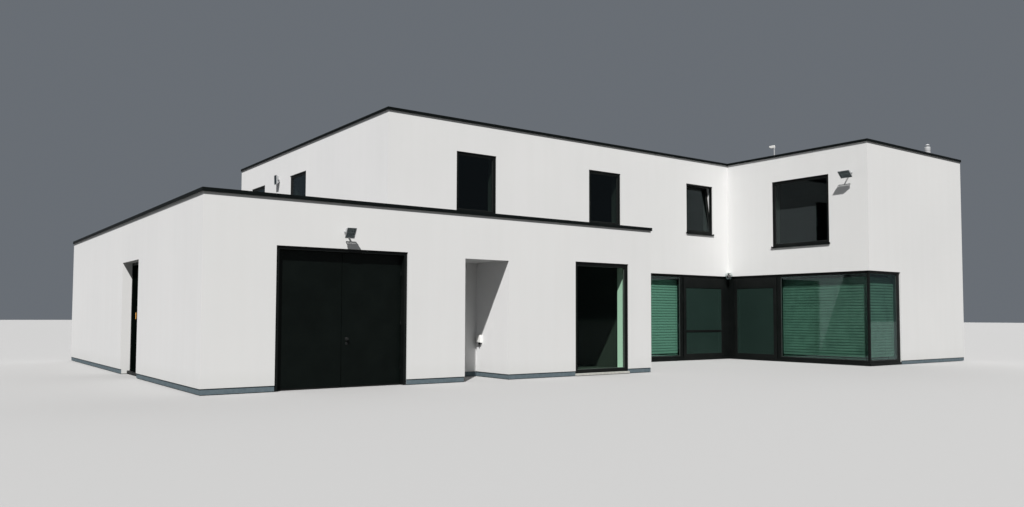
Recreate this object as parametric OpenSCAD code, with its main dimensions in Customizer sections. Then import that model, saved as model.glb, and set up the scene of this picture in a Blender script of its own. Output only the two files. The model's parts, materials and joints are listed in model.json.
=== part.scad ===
// Detached modern house in white render: a two-storey block with a forward wing at its right,
// and a one-storey garage wing at its left. Millimetres, +Z up. The origin is on the ground under
// the middle of the house, +X runs along the garden front to the right, +Y to the back.

/* [Plan] */
// Width of the two-storey block
main_w = 17400; // [16400:100:18400]
// Depth of the two-storey block
main_d = 10500; // [10000:100:11500]
// Width of the two-storey wing that stands forward at the right
wing_w = 5235; // [4700:5:5800]
// How far that wing stands forward of the block
wing_out = 4800; // [4500:50:5300]
// How far the one-storey wing reaches past the left side of the block
side_w = 5070; // [4800:10:5400]
// Width of the one-storey wing along the garden front
low_w = 10530; // [10300:10:10900]
// How far the one-storey wing stands forward of the block
low_out = 3135; // [2950:5:3500]
// How far the back of the one-storey wing stays behind the back of the block
low_back = 615; // [400:5:900]
// Thickness of the outer walls
wall_t = 380; // [350:10:420]
// Thickness of the wall between garage and porch
inner_t = 137; // [100:1:140]

/* [Heights] */
// Height of the plinth strip
plinth_h = 100; // [70:5:140]
// Height of the ground floor above the terrace
floor_h = 60; // [40:5:65]
// Underside of the upper floor and of the lower roofs
ceiling_h = 2700; // [2660:10:2760]
// Thickness of the upper floor and of the roof slabs
slab_t = 300; // [240:10:320]
// Top of the one-storey walls under their coping
low_top = 3448; // [3400:4:3560]
// Top of the two-storey walls under their coping
main_top = 6218; // [6150:2:6400]
// Depth of the main roof slab's top below the wall top
parapet_h = 260; // [200:10:300]
// Thickness of the roof covering
cover_t = 60; // [20:10:80]

/* [Coping] */
// Overhang of the copings in front of the walls
coping_out = 42; // [25:1:60]
// Height of the coping's outer face
coping_h = 55; // [40:1:80]
// Thickness of the coping's legs
coping_leg = 4; // [3:1:8]
// Thickness of the coping's top plate
coping_top = 12; // [8:1:20]
// Length of the coping's inner face below the wall top
coping_in = 40; // [20:5:60]
// Gap between two lengths of coping
coping_gap = 4; // [3:1:8]

/* [Plinth] */
// Recess of the wall foot behind the render
foot_in = 25; // [20:1:40]
// Thickness of the plinth strip
strip_t = 12; // [8:1:18]

/* [Upper windows] */
// Width of an upper window
win_w = 1200; // [1000:10:1400]
// Underside of the upper windows
sill_h = 3900; // [3800:10:4000]
// Head of the upper windows
head_h = 5412; // [5300:4:5500]
// Distance of the first front window's centre from the block's left corner
front_win_1 = 2500; // [2200:10:2800]
// Distance of the second front window's centre from the block's left corner
front_win_2 = 6860; // [6500:10:7200]
// Distance of the third front window's centre from the inner corner
front_win_3 = 1330; // [1200:5:1600]
// Distance of the first left window's centre from the block's back corner
left_win_1 = 1660; // [1400:10:2000]
// Distance of the second left window's centre from the block's back corner
left_win_2 = 4963; // [4600:1:5300]
// Width of the large window in the wing's left face
big_win_w = 1915; // [1700:5:2100]
// Distance of the large window from the inner corner
big_win_x = 1688; // [1500:4:1900]
// Underside of the large window
big_sill_h = 3440; // [3350:10:3600]

/* [Window parts] */
// Width of a window frame seen from outside
frame_w = 34; // [28:1:45]
// Depth of a window frame
frame_d = 80; // [60:2:100]
// Width of a sash seen from outside
sash_w = 44; // [36:1:60]
// Setback of a sash behind the face of its frame
sash_step = 6; // [2:1:12]
// Gap between a sash and its frame
sash_gap = 3; // [2:0.5:4]
// Angle at which the third front window stands open, tilted inwards at its head
open_tilt = 7; // [0:1:8]
// Setback of a window frame behind the render
frame_in = 25; // [10:1:40]
// Thickness of a pane
pane_t = 28; // [20:1:40]
// Overhang of a window sill in front of the wall
sill_out = 36; // [20:1:40]
// Thickness of a window sill
sill_t = 32; // [20:1:45]
// Length of a sill beyond each side of its window
sill_ear = 25; // [10:1:40]

/* [Terrace glazing] */
// Distance of the terrace glazing's head below the ceiling
glaze_drop = 100; // [60:10:140]
// Length of the glazing along the garden front from the inner corner
garden_len = 4800; // [4600:10:5000]
// Width of the door bay in the garden front
garden_bay = 1866; // [1700:2:2000]
// Width of the door bay in the wing's left face
wing_bay = 1597; // [1500:1:1700]
// Width of a post of the glazing
post_w = 120; // [90:2:140]
// Width of the end face glazing from the wing's corner
end_w = 1600; // [1400:10:1900]
// Width of the inner corner post on each face
corner_w = 200; // [150:2:230]
// Width of the outer corner post and depth of the end face's frame
end_post_w = 60; // [50:2:70]
// Setback of the fixed frames behind the render
glaze_in = 45; // [42:1:50]
// Setback of the foot sill behind the render
sill_in = 12; // [6:1:14]
// Depth of the fixed frames on the two long faces
glaze_d = 64; // [60:1:66]
// Setback of the fixed panes behind the face of their frames
glaze_step = 18; // [10:1:20]
// Height of the head and foot rails
rail_h = 70; // [50:2:90]
// Running clearance round a moving leaf
leaf_gap = 8; // [6:1:12]
// Depth of a sliding leaf
slide_d = 50; // [40:1:52]
// Width of a sliding leaf's stiles
stile_w = 110; // [80:2:130]
// Height of a sliding leaf's top rail
top_rail_h = 120; // [90:5:220]
// Depth of an insect screen leaf
screen_d = 24; // [18:1:28]
// Height of an insect screen's top rail
screen_top_h = 315; // [120:5:340]
// Thickness of the insect mesh
mesh_t = 2; // [1:0.5:3]
// Height of the screen's middle rail above the ground
mid_rail_z = 875; // [700:5:1100]
// Height of the screen's middle rail
mid_rail_h = 62; // [40:2:90]
// Travel of the sliding leaves
slide_travel = 1500; // [1000:50:1550]

/* [Blinds] */
// Width of a slat
slat_w = 80; // [60:2:84]
// Thickness of a slat
slat_t = 3; // [2:0.5:4]
// Radius of a slat's curve
slat_r = 110; // [90:5:160]
// Distance between two slats
slat_pitch = 80; // [76:1:100]
// Slope of the slats
slat_tilt = 72; // [50:1:76]
// Distance of the slats' centres behind the render
blind_in = 210; // [208:1:300]
// Height of a blind's head box
blind_box_h = 90; // [70:5:110]
// Width of a blind's head box
blind_box_w = 66; // [50:2:68]
// Width of the cords that carry the slats
cord_w = 5; // [4:1:8]
// Distance of the outer cords from the blind's ends
cord_end = 150; // [80:10:250]
// Number of gaps between the cords
cord_gaps = 3; // [2:1:5]
// Width of the foot bar
foot_bar_w = 60; // [40:2:66]
// Height of the foot bar
foot_bar_h = 16; // [10:1:24]
// Gap between a blind and the edge of its window bay
blind_edge = 20; // [10:1:40]

/* [Doors] */
// Distance of the garage doorway from the low wing's left corner
garage_x = 1270; // [1100:10:1500]
// Width of the garage doorway
garage_w = 2612; // [2400:4:2700]
// Distance of the garage doorway's head and the tall window's head below the ceiling
door_drop = 150; // [120:10:180]
// Recess of the garage leaves behind the render
garage_in = 150; // [120:5:180]
// Thickness of the garage leaves
garage_leaf_t = 50; // [40:1:60]
// Distance of the side doorway from the low wing's front corner
side_x = 4638; // [4400:1:4900]
// Width of the side doorway
side_door_w = 1568; // [1400:4:1800]
// Distance of the side doorway's head below the ceiling
side_drop = 205; // [190:5:300]
// Recess of the side door leaves behind the render
side_in = 200; // [160:5:220]
// Thickness of the side door leaves
side_leaf_t = 60; // [50:1:70]
// Height of the lowest hinge of a door leaf
hinge_low = 300; // [200:10:500]
// Height of the middle hinge of a door leaf
hinge_mid = 1150; // [900:10:1400]
// Distance of the top hinge below the side doorway's head
hinge_drop = 395; // [300:5:600]
// Radius of a hinge barrel
hinge_r = 9; // [7:1:11]
// Height of each half of a hinge
knuckle_h = 70; // [40:5:90]
// Thickness of the hinge plates
hinge_plate = 5; // [4:0.5:8]
// Height of the garage door's knob above the ground
knob_z = 888; // [800:4:1100]
// Distance of the knob from the middle of the garage door
knob_off = 107; // [60:1:140]
// Radius of the knob
knob_r = 25; // [18:1:35]
// Length of the knob with its neck
knob_d = 50; // [40:2:70]
// Length of the side door's pull bar
pull_h = 320; // [200:10:500]
// Radius of the pull bar
pull_r = 10; // [8:1:16]
// Distance of the pull bar's axis in front of the leaf
pull_d = 45; // [35:1:60]
// Height of the pull bar's lower end
pull_z = 1140; // [900:10:1300]
// Distance of the pull bar from the middle of the side door
pull_off = 70; // [50:1:100]
// Width of the porch
porch_w = 1090; // [1000:10:1200]
// Depth of the porch
porch_d = 1220; // [1100:10:1400]
// Distance of the porch ceiling below the ceiling of the rooms
porch_drop = 213; // [190:1:300]
// Width of the flat box on the porch wall
porch_box_w = 150; // [100:10:200]
// Height of the flat box on the porch wall
porch_box_h = 320; // [200:10:400]
// Thickness of the flat box on the porch wall
porch_box_t = 9; // [5:1:10]
// Height of the flat box's underside
porch_box_z = 630; // [500:10:900]
// Distance of the flat box from the back of the porch
porch_box_off = 90; // [50:10:300]
// Distance of the tall window from the low wing's right corner
tall_off = 750; // [600:10:900]
// Width of the tall window
tall_w = 1632; // [1500:4:1700]
// Height of the stone threshold under the tall window
step_h = 45; // [30:5:60]

/* [Right and back sides] */
// Distance of the first right window's centre from the wing's front corner
right_win_1 = 3000; // [2600:50:3200]
// Distance between the right windows
right_win_gap = 4650; // [4500:50:4800]
// Distance of the first back window's centre from the block's right corner
back_win_1 = 2500; // [2200:50:2600]
// Distance between the back windows
back_win_gap = 4130; // [4000:10:4300]
// Underside of the ground-floor windows at the back
low_sill_h = 1100; // [900:50:1300]
// Distance of the front door at the back from the block's right corner
front_door_x = 7600; // [7400:50:7800]
// Width of the front door with its side light
front_door_w = 1800; // [1600:50:2000]
// Width of the side light beside the front door
side_light_w = 480; // [350:10:600]
// Depth by which the front door's leaf is set back in its frame
door_step = 12; // [5:1:20]

/* [Lamps and roof fittings] */
// Distance of the garage lamp from the low wing's left corner
garage_lamp_x = 2590; // [2000:10:3200]
// Height of the garage lamp
garage_lamp_z = 2845; // [2760:5:3100]
// Distance of the left lamp from the block's back corner
left_lamp_x = 3480; // [3000:10:3700]
// Height of the left lamp
left_lamp_z = 5406; // [5100:2:5600]
// Distance of the wing lamp from the inner corner
wing_lamp_x = 4270; // [4000:10:4400]
// Height of the wing lamp
wing_lamp_z = 5307; // [5000:1:5500]
// Width of the garage lamp's head
garage_lamp_w = 190; // [150:5:250]
// Height of the garage lamp's head
garage_lamp_h = 215; // [150:5:260]
// Distance of the garage lamp's head from the wall
garage_lamp_out = 160; // [130:5:220]
// Angle by which the garage lamp's head looks down
garage_lamp_tilt = 30; // [10:5:50]
// Width of the left lamp's head
left_lamp_w = 200; // [150:5:250]
// Height of the left lamp's head
left_lamp_h = 290; // [200:5:320]
// Distance of the left lamp's head from the wall
left_lamp_out = 135; // [110:5:220]
// Angle by which the left lamp's head looks down
left_lamp_tilt = 8; // [0:2:30]
// Width of the wing lamp's head
wing_lamp_w = 350; // [220:10:380]
// Height of the wing lamp's head
wing_lamp_h = 250; // [200:10:300]
// Distance of the wing lamp's head from the wall
wing_lamp_out = 220; // [180:5:260]
// Angle by which the wing lamp's head looks down
wing_lamp_tilt = 45; // [20:5:60]
// Thickness of a lamp head
lamp_t = 70; // [50:5:90]
// Width of the rim round a head's glass, and depth of the rim
lamp_rim = 12; // [8:1:18]
// Distance of the glass behind the rim's front
lamp_glass_in = 6; // [2:1:10]
// Distance by which the body's back is lower than the rim, above and below
lamp_taper = 40; // [10:5:50]
// Number of cooling fins on a head's back
fin_count = 9; // [5:1:15]
// Thickness of a fin
fin_t = 5; // [3:1:8]
// Depth of the fins
fin_d = 16; // [8:1:20]
// Width of the forked bracket's bar
fork_w = 26; // [20:2:34]
// Thickness of the bracket's bar
fork_t = 4; // [3:1:6]
// Gap between the bracket and the head
fork_gap = 6; // [3:1:8]
// Radius of the bolt that the head turns on
bolt_r = 9; // [6:1:12]
// Length of the bolt outside the bracket
bolt_out = 8; // [5:1:12]
// Radius of a lamp's base
lamp_base_r = 45; // [30:5:60]
// Thickness of a lamp's base
lamp_base_t = 30; // [20:5:50]
// Width and height of a lamp's arm
lamp_arm_w = 30; // [20:2:40]
// Radius of the round lamp at the inner corner
globe_r = 115; // [45:5:125]
// Height of the round lamp's centre above the head of the glazing
globe_up = 13; // [5:1:60]
// Distance of the vent pipe from the right parapet
vent_x = 250; // [200:10:500]
// Distance of the vent pipe from the front parapet
vent_y = 300; // [200:10:500]
// Radius of the vent pipe on the roof
vent_r = 85; // [70:5:110]
// Height of the vent pipe above the roof covering
vent_h = 660; // [500:10:900]
// Height of the slope at the pipe's top
vent_shoulder = 25; // [5:5:30]
// Radius of the rod between the vent pipe and its cap
vent_rod_r = 25; // [15:5:35]
// Height of the gap under the vent's cap
vent_gap = 35; // [20:5:60]
// Radius of the vent's cap
vent_cap_r = 60; // [45:5:110]
// Height of the vent's cap
vent_cap_h = 50; // [30:5:80]
// Distance of the wind sensor's mast from the wing's left parapet
mast_x = 120; // [80:10:300]
// Distance of the mast from the inner corner
mast_y = 1428; // [1000:2:2000]
// Radius of the mast
mast_r = 20; // [15:1:30]
// Height of the mast above the roof covering
mast_h = 550; // [350:10:700]
// Length of the wind sensor
sensor_l = 200; // [120:10:260]
// Width of the wind sensor
sensor_w = 60; // [40:5:90]
// Height of the wind sensor
sensor_h = 90; // [60:5:110]

/* [Hidden] */
$fn = 48;
eps = 1;
seat = 0.3;

// corners of the plan
x_low = -(main_w + side_w) / 2;
x_main = x_low + side_w;
x_right = x_main + main_w;
x_wing = x_right - wing_w;
x_end = x_low + low_w;
y_wing = -(main_d + wing_out) / 2;
y_main = y_wing + wing_out;
y_back = y_main + main_d;
y_low = y_main - low_out;
y_low_back = y_back - low_back;

// inner faces of the outer walls
xi_low = x_low + wall_t;
xi_main = x_main + wall_t;
xi_right = x_right - wall_t;
xi_wing = x_wing + wall_t;
xi_end = x_end - wall_t;
yi_low = y_low + wall_t;
yi_low_back = y_low_back - wall_t;
yi_main = y_main + wall_t;
yi_wing = y_wing + wall_t;
yi_back = y_back - wall_t;

// doorways, porch and glazing along the fronts
x_garage = x_low + garage_x;
x_garage_2 = x_garage + garage_w;
x_porch = x_main + inner_t;
x_porch_2 = x_porch + porch_w;
y_porch = y_low + porch_d;
tall_x = low_w - tall_off - tall_w;
x_tall = x_low + tall_x;
x_tall_2 = x_tall + tall_w;
y_side = y_low + side_x;
y_side_2 = y_side + side_door_w;
x_glaze = x_wing - garden_len;
x_glaze_end = x_wing + end_w;

// levels
glaze_head = ceiling_h - glaze_drop;
door_head = ceiling_h - door_drop;
side_head = ceiling_h - side_drop;
porch_head = ceiling_h - porch_drop;
floor2_h = ceiling_h + slab_t;
roof_top = main_top - parapet_h;
roof_low = roof_top - slab_t;
jamb_w = 60;
threshold_h = floor_h + 5;
pivot_off = hinge_r + 7;
axis_off = hinge_r + 5;
hinge_z = [hinge_low, hinge_mid, side_head - hinge_drop];

// Outline of the ground storey, moved in by i; the porch is a notch in it
function outline(i) = [
    [x_low + i, y_low + i], [x_porch - i, y_low + i], [x_porch - i, y_porch + i],
    [x_porch_2 + i, y_porch + i], [x_porch_2 + i, y_low + i], [x_end - i, y_low + i],
    [x_end - i, y_main + i], [x_wing + i, y_main + i], [x_wing + i, y_wing + i],
    [x_right - i, y_wing + i], [x_right - i, y_back - i], [x_main + i, y_back - i],
    [x_main + i, y_low_back - i], [x_low + i, y_low_back - i]
];

// Outline of the two-storey walls, moved in by i
function main_outline(i) = [
    [x_main + i, y_main + i], [x_wing + i, y_main + i], [x_wing + i, y_wing + i],
    [x_right - i, y_wing + i], [x_right - i, y_back - i], [x_main + i, y_back - i]
];

// Outline of the one-storey walls above the porch, moved in by i, from the block round to the block
function low_outline(i) = [
    [x_main, y_low_back - i], [x_low + i, y_low_back - i], [x_low + i, y_low + i],
    [x_end - i, y_low + i], [x_end - i, y_main]
];

module rect(x1, x2, y1, y2) translate([x1, y1]) square([x2 - x1, y2 - y1]);

module block(x1, x2, y1, y2, z1, z2) translate([x1, y1, z1]) cube([x2 - x1, y2 - y1, z2 - z1]);

// A wall from the ground up, whose foot is set back for the plinth
module footed(h) {
    translate([0, 0, plinth_h]) linear_extrude(h - plinth_h) children();
    linear_extrude(h) intersection() {
        children();
        polygon(outline(foot_in));
    }
}

// Puts children on a face: x runs along it to the right as seen from outside, -y points outside
module face_at(p, turn) translate([p[0], p[1], 0]) rotate([0, 0, turn]) children();

// Windows: corner, facing, left edge, width, underside, head
function window_row(corner, turn, centres, low, high) =
    [for (c = centres) [corner, turn, c - win_w / 2, win_w, low, high]];

back_centres = [for (k = [0 : 3]) back_win_1 + k * back_win_gap];
front_windows = window_row([x_main, y_main], 0,
    [front_win_1, front_win_2, main_w - wing_w - front_win_3], sill_h, head_h);
left_windows = window_row([x_main, y_back], -90, [left_win_1, left_win_2], sill_h, head_h);
right_windows = window_row([x_right, y_wing], 90,
    [for (k = [0 : 2]) right_win_1 + k * right_win_gap], sill_h, head_h);
back_windows = window_row([x_right, y_back], 180, back_centres, sill_h, head_h);
back_low_windows = window_row([x_right, y_back], 180, [back_centres[0], back_centres[3]],
    low_sill_h, door_head);
wing_windows = [[[x_wing, y_main], -90, big_win_x, big_win_w, big_sill_h, head_h]];
tall_windows = [[[x_low, y_low], 0, tall_x, tall_w, step_h, door_head]];
sill_windows = concat(front_windows, left_windows, wing_windows, right_windows, back_windows,
    back_low_windows);
all_windows = concat(sill_windows, tall_windows);

// The holes that the windows need in their walls, with room for the sill
module window_holes(list) {
    for (w = list) face_at(w[0], w[1])
        block(w[2], w[2] + w[3], -eps, wall_t + eps, w[4] - (w[4] > 0 ? sill_t : 0), w[5]);
}

// Floors

module garage_floor() {
    color("gray") linear_extrude(floor_h) {
        rect(xi_low, x_main, yi_low, yi_low_back);
        rect(x_garage, x_garage_2, y_low + garage_in + garage_leaf_t + 10, yi_low + eps);
    }
}

module front_room_floor() {
    color("gray") linear_extrude(floor_h) {
        rect(x_porch_2 + wall_t, xi_end, yi_low, yi_main);
        rect(x_porch, x_porch_2 + wall_t - seat, y_porch + wall_t, y_main);
    }
}

module main_floor() {
    color("gray") block(xi_main, xi_right, yi_main, yi_back, 0, floor_h);
}

module wing_floor() {
    color("gray") block(xi_wing, xi_right, yi_wing, yi_main, 0, floor_h);
}

// Fine joint across the mitre of two strips
module mitre_joint(outer, inner) {
    run = inner - outer;
    translate(outer) rotate(atan2(run[1], run[0]))
        translate([-strip_t, -seat / 2]) square([norm(run) + 2 * strip_t, seat]);
}

// Plinth strips round the foot of the walls, open at the doors and the glazing
module plinth_strips() {
    outer = outline(foot_in - strip_t);
    inner = outline(foot_in);
    n = len(outer);
    color("slategray") linear_extrude(plinth_h - 2) difference() {
        for (k = [0 : n - 1]) polygon([outer[k], outer[(k + 1) % n], inner[(k + 1) % n], inner[k]]);
        for (k = [0 : n - 1]) mitre_joint(outer[k], inner[k]);
        rect(x_garage, x_garage_2, y_low - eps, yi_low);
        rect(x_tall, x_tall_2, y_low - eps, yi_low);
        rect(x_low - eps, xi_low, y_side, y_side_2);
        rect(x_glaze, xi_wing, y_main - eps, yi_main);
        rect(x_wing - eps, x_glaze_end, y_wing - eps, yi_main);
        rect(x_right - front_door_x - front_door_w, x_right - front_door_x, yi_back, y_back + eps);
    }
}

// One-storey walls

module garage_front_piers() {
    color("white") footed(door_head) {
        rect(x_low, x_garage, y_low, yi_low);
        rect(x_garage_2, x_porch, y_low, yi_low);
        rect(x_porch_2, x_tall, y_low, yi_low);
        rect(x_tall_2, x_end, y_low, yi_low);
    }
}

module garage_front_lintel() {
    color("white") block(x_low, x_end, y_low, yi_low, door_head, low_top);
}

module garage_side_piers() {
    color("white") footed(side_head) {
        rect(x_low, xi_low, yi_low, y_side);
        rect(x_low, xi_low, y_side_2, y_low_back);
    }
}

module garage_side_lintel() {
    color("white") block(x_low, xi_low, yi_low, y_low_back, side_head, low_top);
}

module garage_back_wall() {
    color("white") footed(low_top) rect(xi_low, x_main, yi_low_back, y_low_back);
}

module front_room_end_wall() {
    color("white") footed(low_top) rect(xi_end, x_end, yi_low, y_main);
}

module porch_walls() {
    color("white") footed(ceiling_h) {
        rect(x_porch - inner_t, x_porch, yi_low, y_main);
        rect(x_porch + seat, x_porch_2 + wall_t, y_porch, y_porch + wall_t);
        rect(x_porch_2, x_porch_2 + wall_t, yi_low, y_porch - seat);
    }
}

module porch_ceiling() {
    color("white") block(x_porch, x_porch_2, y_low, y_porch, porch_head, door_head);
}

// Flat box on the right wall of the porch
module porch_wall_box() {
    back = y_porch - porch_box_off;
    color("white") block(x_porch_2 - porch_box_t, x_porch_2, back - porch_box_w, back,
                         porch_box_z, porch_box_z + porch_box_h);
}

// Two-storey walls

module terrace_piers() {
    color("white") footed(glaze_head) {
        rect(xi_end, x_glaze, y_main, yi_main);
        rect(x_glaze_end, x_right, y_wing, yi_wing);
    }
}

module upper_front_wall() {
    color("white") difference() {
        block(x_main, x_wing, y_main, yi_main, glaze_head, main_top);
        window_holes(front_windows);
    }
}

module main_left_wall() {
    color("white") difference() {
        union() {
            footed(main_top) rect(x_main, xi_main, yi_main, y_back);
            block(x_main, xi_main, y_main, yi_main + eps, 0, glaze_head);
        }
        window_holes(left_windows);
    }
}

module main_back_wall() {
    color("white") difference() {
        footed(main_top) rect(xi_main, x_right, yi_back, y_back);
        window_holes(back_windows);
        window_holes(back_low_windows);
        block(x_right - front_door_x - front_door_w, x_right - front_door_x, yi_back - eps, y_back + eps,
              -eps, door_head);
    }
}

module main_right_wall() {
    color("white") difference() {
        footed(main_top) rect(xi_right, x_right, yi_wing, yi_back);
        window_holes(right_windows);
    }
}

module wing_side_wall() {
    color("white") difference() {
        block(x_wing, xi_wing, y_wing, yi_main, glaze_head, main_top);
        window_holes(wing_windows);
    }
}

module wing_front_wall() {
    color("white") block(xi_wing, x_right, y_wing, yi_wing, glaze_head, main_top);
}

// Upper floor and roofs

module upper_floor() {
    color("lightgray") block(xi_main, xi_right, yi_main, yi_back, ceiling_h, floor2_h);
}

module upper_wing_floor() {
    color("lightgray") block(xi_wing, xi_right, yi_wing, yi_main, ceiling_h, floor2_h);
}

module garage_roof_slab() {
    color("lightgray") block(xi_low, x_main, yi_low, yi_low_back, ceiling_h, floor2_h);
}

module front_room_roof_slab() {
    color("lightgray") block(x_main, xi_end, yi_low, y_main, ceiling_h, floor2_h);
}

module main_roof_slab() {
    color("lightgray") block(xi_main, xi_right, yi_main, yi_back, roof_low, roof_top);
}

module wing_roof_slab() {
    color("lightgray") block(xi_wing, xi_right, yi_wing, yi_main, roof_low, roof_top);
}

module roof_covering() {
    color("dimgray") {
        block(xi_main, xi_right, yi_main, yi_back, roof_top, roof_top + cover_t);
        block(xi_wing, xi_right, yi_wing, yi_main - seat, roof_top, roof_top + cover_t);
        block(xi_low, x_main - seat, yi_low, yi_low_back, floor2_h, floor2_h + cover_t);
        block(x_main, xi_end, yi_low, y_main, floor2_h, floor2_h + cover_t);
    }
}

// Copings: a bar per side with mitred ends, made of an outer leg, a top plate and an inner leg
module coping_bar(outer, leg, inner, inner_leg, a, b, top) {
    translate([0, 0, top + coping_top - coping_h]) linear_extrude(coping_h)
        polygon([outer[a], outer[b], leg[b], leg[a]]);
    translate([0, 0, top]) linear_extrude(coping_top)
        polygon([outer[a], outer[b], inner[b], inner[a]]);
    translate([0, 0, top - coping_in]) linear_extrude(coping_in + coping_top)
        polygon([inner_leg[a], inner_leg[b], inner[b], inner[a]]);
}

// Gap across the mitre of a corner
module mitre_gap(outer, inner, top) {
    run = inner - outer;
    translate([outer[0], outer[1], 0]) rotate([0, 0, atan2(run[1], run[0])])
        block(-coping_out, norm(run) + coping_out, -coping_gap / 2, coping_gap / 2,
              top - coping_h, top + coping_h);
}

module main_coping() {
    outer = main_outline(-coping_out);
    leg = main_outline(-coping_out + coping_leg);
    inner = main_outline(wall_t + coping_leg);
    inner_leg = main_outline(wall_t);
    n = len(outer);
    color("black") difference() {
        for (k = [0 : n - 1]) coping_bar(outer, leg, inner, inner_leg, k, (k + 1) % n, main_top);
        for (k = [0 : n - 1]) mitre_gap(outer[k], inner[k], main_top);
    }
}

module low_coping() {
    outer = low_outline(-coping_out);
    leg = low_outline(-coping_out + coping_leg);
    inner = low_outline(wall_t + coping_leg);
    inner_leg = low_outline(wall_t);
    n = len(outer);
    color("black") difference() {
        for (k = [0 : n - 2]) coping_bar(outer, leg, inner, inner_leg, k, k + 1, low_top);
        for (k = [1 : n - 2]) mitre_gap(outer[k], inner[k], low_top);
    }
}

// Windows

// A frame with its lower left corner at the origin and the given width of bars
module ring(w, h, d, bar) {
    difference() {
        block(0, w, 0, d, 0, h);
        block(bar, w - bar, -eps, d + eps, bar, h - bar);
    }
}

module window_frames() {
    color("black") for (w = all_windows) face_at(w[0], w[1]) translate([w[2], frame_in, w[4]])
        ring(w[3], w[5] - w[4], frame_d, frame_w);
}

// A sash lies in its frame and turns inwards round the inner edge of its foot. Children are drawn
// from the outer lower left corner of the sash.
sash_d = frame_d - sash_step;
function sash_len(w) = w[3] - 2 * frame_w - 2 * sash_gap;
function sash_rise(w) = w[5] - w[4] - 2 * frame_w - seat - sash_gap;
function tilt_of(w) = w == front_windows[2] ? open_tilt : 0;

module at_sash(w) {
    face_at(w[0], w[1]) translate([w[2] + frame_w + sash_gap, frame_in + frame_d, w[4] + frame_w + seat])
        rotate([-tilt_of(w), 0, 0]) translate([0, -sash_d, 0]) children();
}

module window_sashes() {
    color("black") for (w = all_windows) at_sash(w) ring(sash_len(w), sash_rise(w), sash_d, sash_w);
}

module window_panes() {
    color("lightblue", 0.4) for (w = all_windows) at_sash(w)
        block(sash_w, sash_len(w) - sash_w, sash_d / 2 - pane_t / 2, sash_d / 2 + pane_t / 2,
              sash_w, sash_rise(w) - sash_w);
    color("lightblue", 0.4) at_front_door()
        block(door_post_x, front_door_w - jamb_w, side_leaf_t / 2 - pane_t / 2,
              side_leaf_t / 2 + pane_t / 2, jamb_w, door_rise - jamb_w);
}

// Stone thresholds under the tall window and in the front doorway
module stone_thresholds() {
    color("silver") {
        face_at([x_low, y_low], 0) block(tall_x, tall_x + tall_w, -sill_out, wall_t, 0, step_h);
        face_at([x_right, y_back], 180)
            block(front_door_x, front_door_x + front_door_w, -sill_out, wall_t, 0, step_h);
    }
}

module window_sills() {
    color("dimgray") for (w = sill_windows) face_at(w[0], w[1]) {
        block(w[2], w[2] + w[3], -eps, frame_in + frame_d, w[4] - sill_t, w[4]);
        block(w[2] - sill_ear, w[2] + w[3] + sill_ear, -sill_out, 0, w[4] - sill_t, w[4]);
    }
}

// Terrace glazing: two long faces that meet at the inner corner, and a short one round the wing's
// corner. A long face is drawn from the inner corner outwards, with x along it and y into the house:
// first the corner post, then the door bay, then the fixed pane.
slide_in = glaze_in + glaze_d + leaf_gap;
slide_back = slide_in + slide_d;
slide_out_z = threshold_h + leaf_gap;
slide_top_z = glaze_head - rail_h - leaf_gap;
slide_h = slide_top_z - slide_out_z;
screen_in = glaze_in - 6 - screen_d;
track_w = 10;
wing_len = wing_out - glaze_in - end_post_w;
foot_z = floor_h + seat;
post_z = floor_h + rail_h + seat;
post_top = glaze_head - rail_h - seat;
pane_y = glaze_in + glaze_step;

// Track for a leaf whose middle runs at the given depth
module track(length, depth)
    block(corner_w + seat, length - seat, depth - track_w / 2, depth + track_w / 2,
          foot_z, slide_out_z - seat);

// Bars of one long face up to the given length, with tracks for the leaf and for the screen
module long_frame_bars(bay, length, end_post) {
    x1 = corner_w + bay;
    x2 = length - seat;
    block(corner_w + seat, x2, glaze_in, slide_back, glaze_head - rail_h, glaze_head - seat);
    block(x1, x2, glaze_in, glaze_in + glaze_d, foot_z, floor_h + rail_h);
    block(x1, x1 + post_w, glaze_in, glaze_in + glaze_d, post_z, post_top);
    if (end_post) block(length - post_w, x2, glaze_in, glaze_in + glaze_d, post_z, post_top);
    track(length, slide_in + slide_d / 2);
    track(length, screen_in + screen_d / 2);
}

module at_garden_face() translate([x_wing, y_main, 0]) mirror([1, 0, 0]) children();

module at_wing_face() translate([x_wing, y_main, 0]) rotate([0, 0, -90]) children();

module at_end_face() translate([x_wing, y_wing, 0]) children();

module terrace_frames() {
    color("black") {
        // foot sills
        block(x_glaze, xi_wing, y_main + sill_in, yi_main, 0, floor_h);
        block(x_wing + sill_in, xi_wing, yi_wing + seat, y_main + sill_in - seat, 0, floor_h);
        block(x_wing + sill_in, x_glaze_end, y_wing + sill_in, yi_wing, 0, floor_h);
        at_garden_face() long_frame_bars(garden_bay, garden_len, true);
        at_wing_face() long_frame_bars(wing_bay, wing_len, false);
        at_end_face() {
            x1 = glaze_in + end_post_w + seat;
            x2 = end_w - seat;
            back = glaze_in + end_post_w;
            block(x1, x2, glaze_in, back, glaze_head - rail_h, glaze_head - seat);
            block(x1, x2, glaze_in, back, foot_z, floor_h + rail_h);
            block(end_w - post_w, x2, glaze_in, back, post_z, post_top);
            block(glaze_in, back, glaze_in, back, foot_z, glaze_head - seat);
        }
        // inner corner post
        union() {
            block(x_wing - corner_w, x_wing + slide_back, y_main + glaze_in, y_main + slide_back,
                  foot_z, glaze_head - seat);
            block(x_wing + glaze_in, x_wing + slide_back, y_main - corner_w, y_main + slide_back,
                  foot_z, glaze_head - seat);
        }
    }
}

module fixed_pane(x1, x2) block(x1 + seat, x2 - seat, pane_y, pane_y + pane_t, post_z, post_top);

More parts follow.
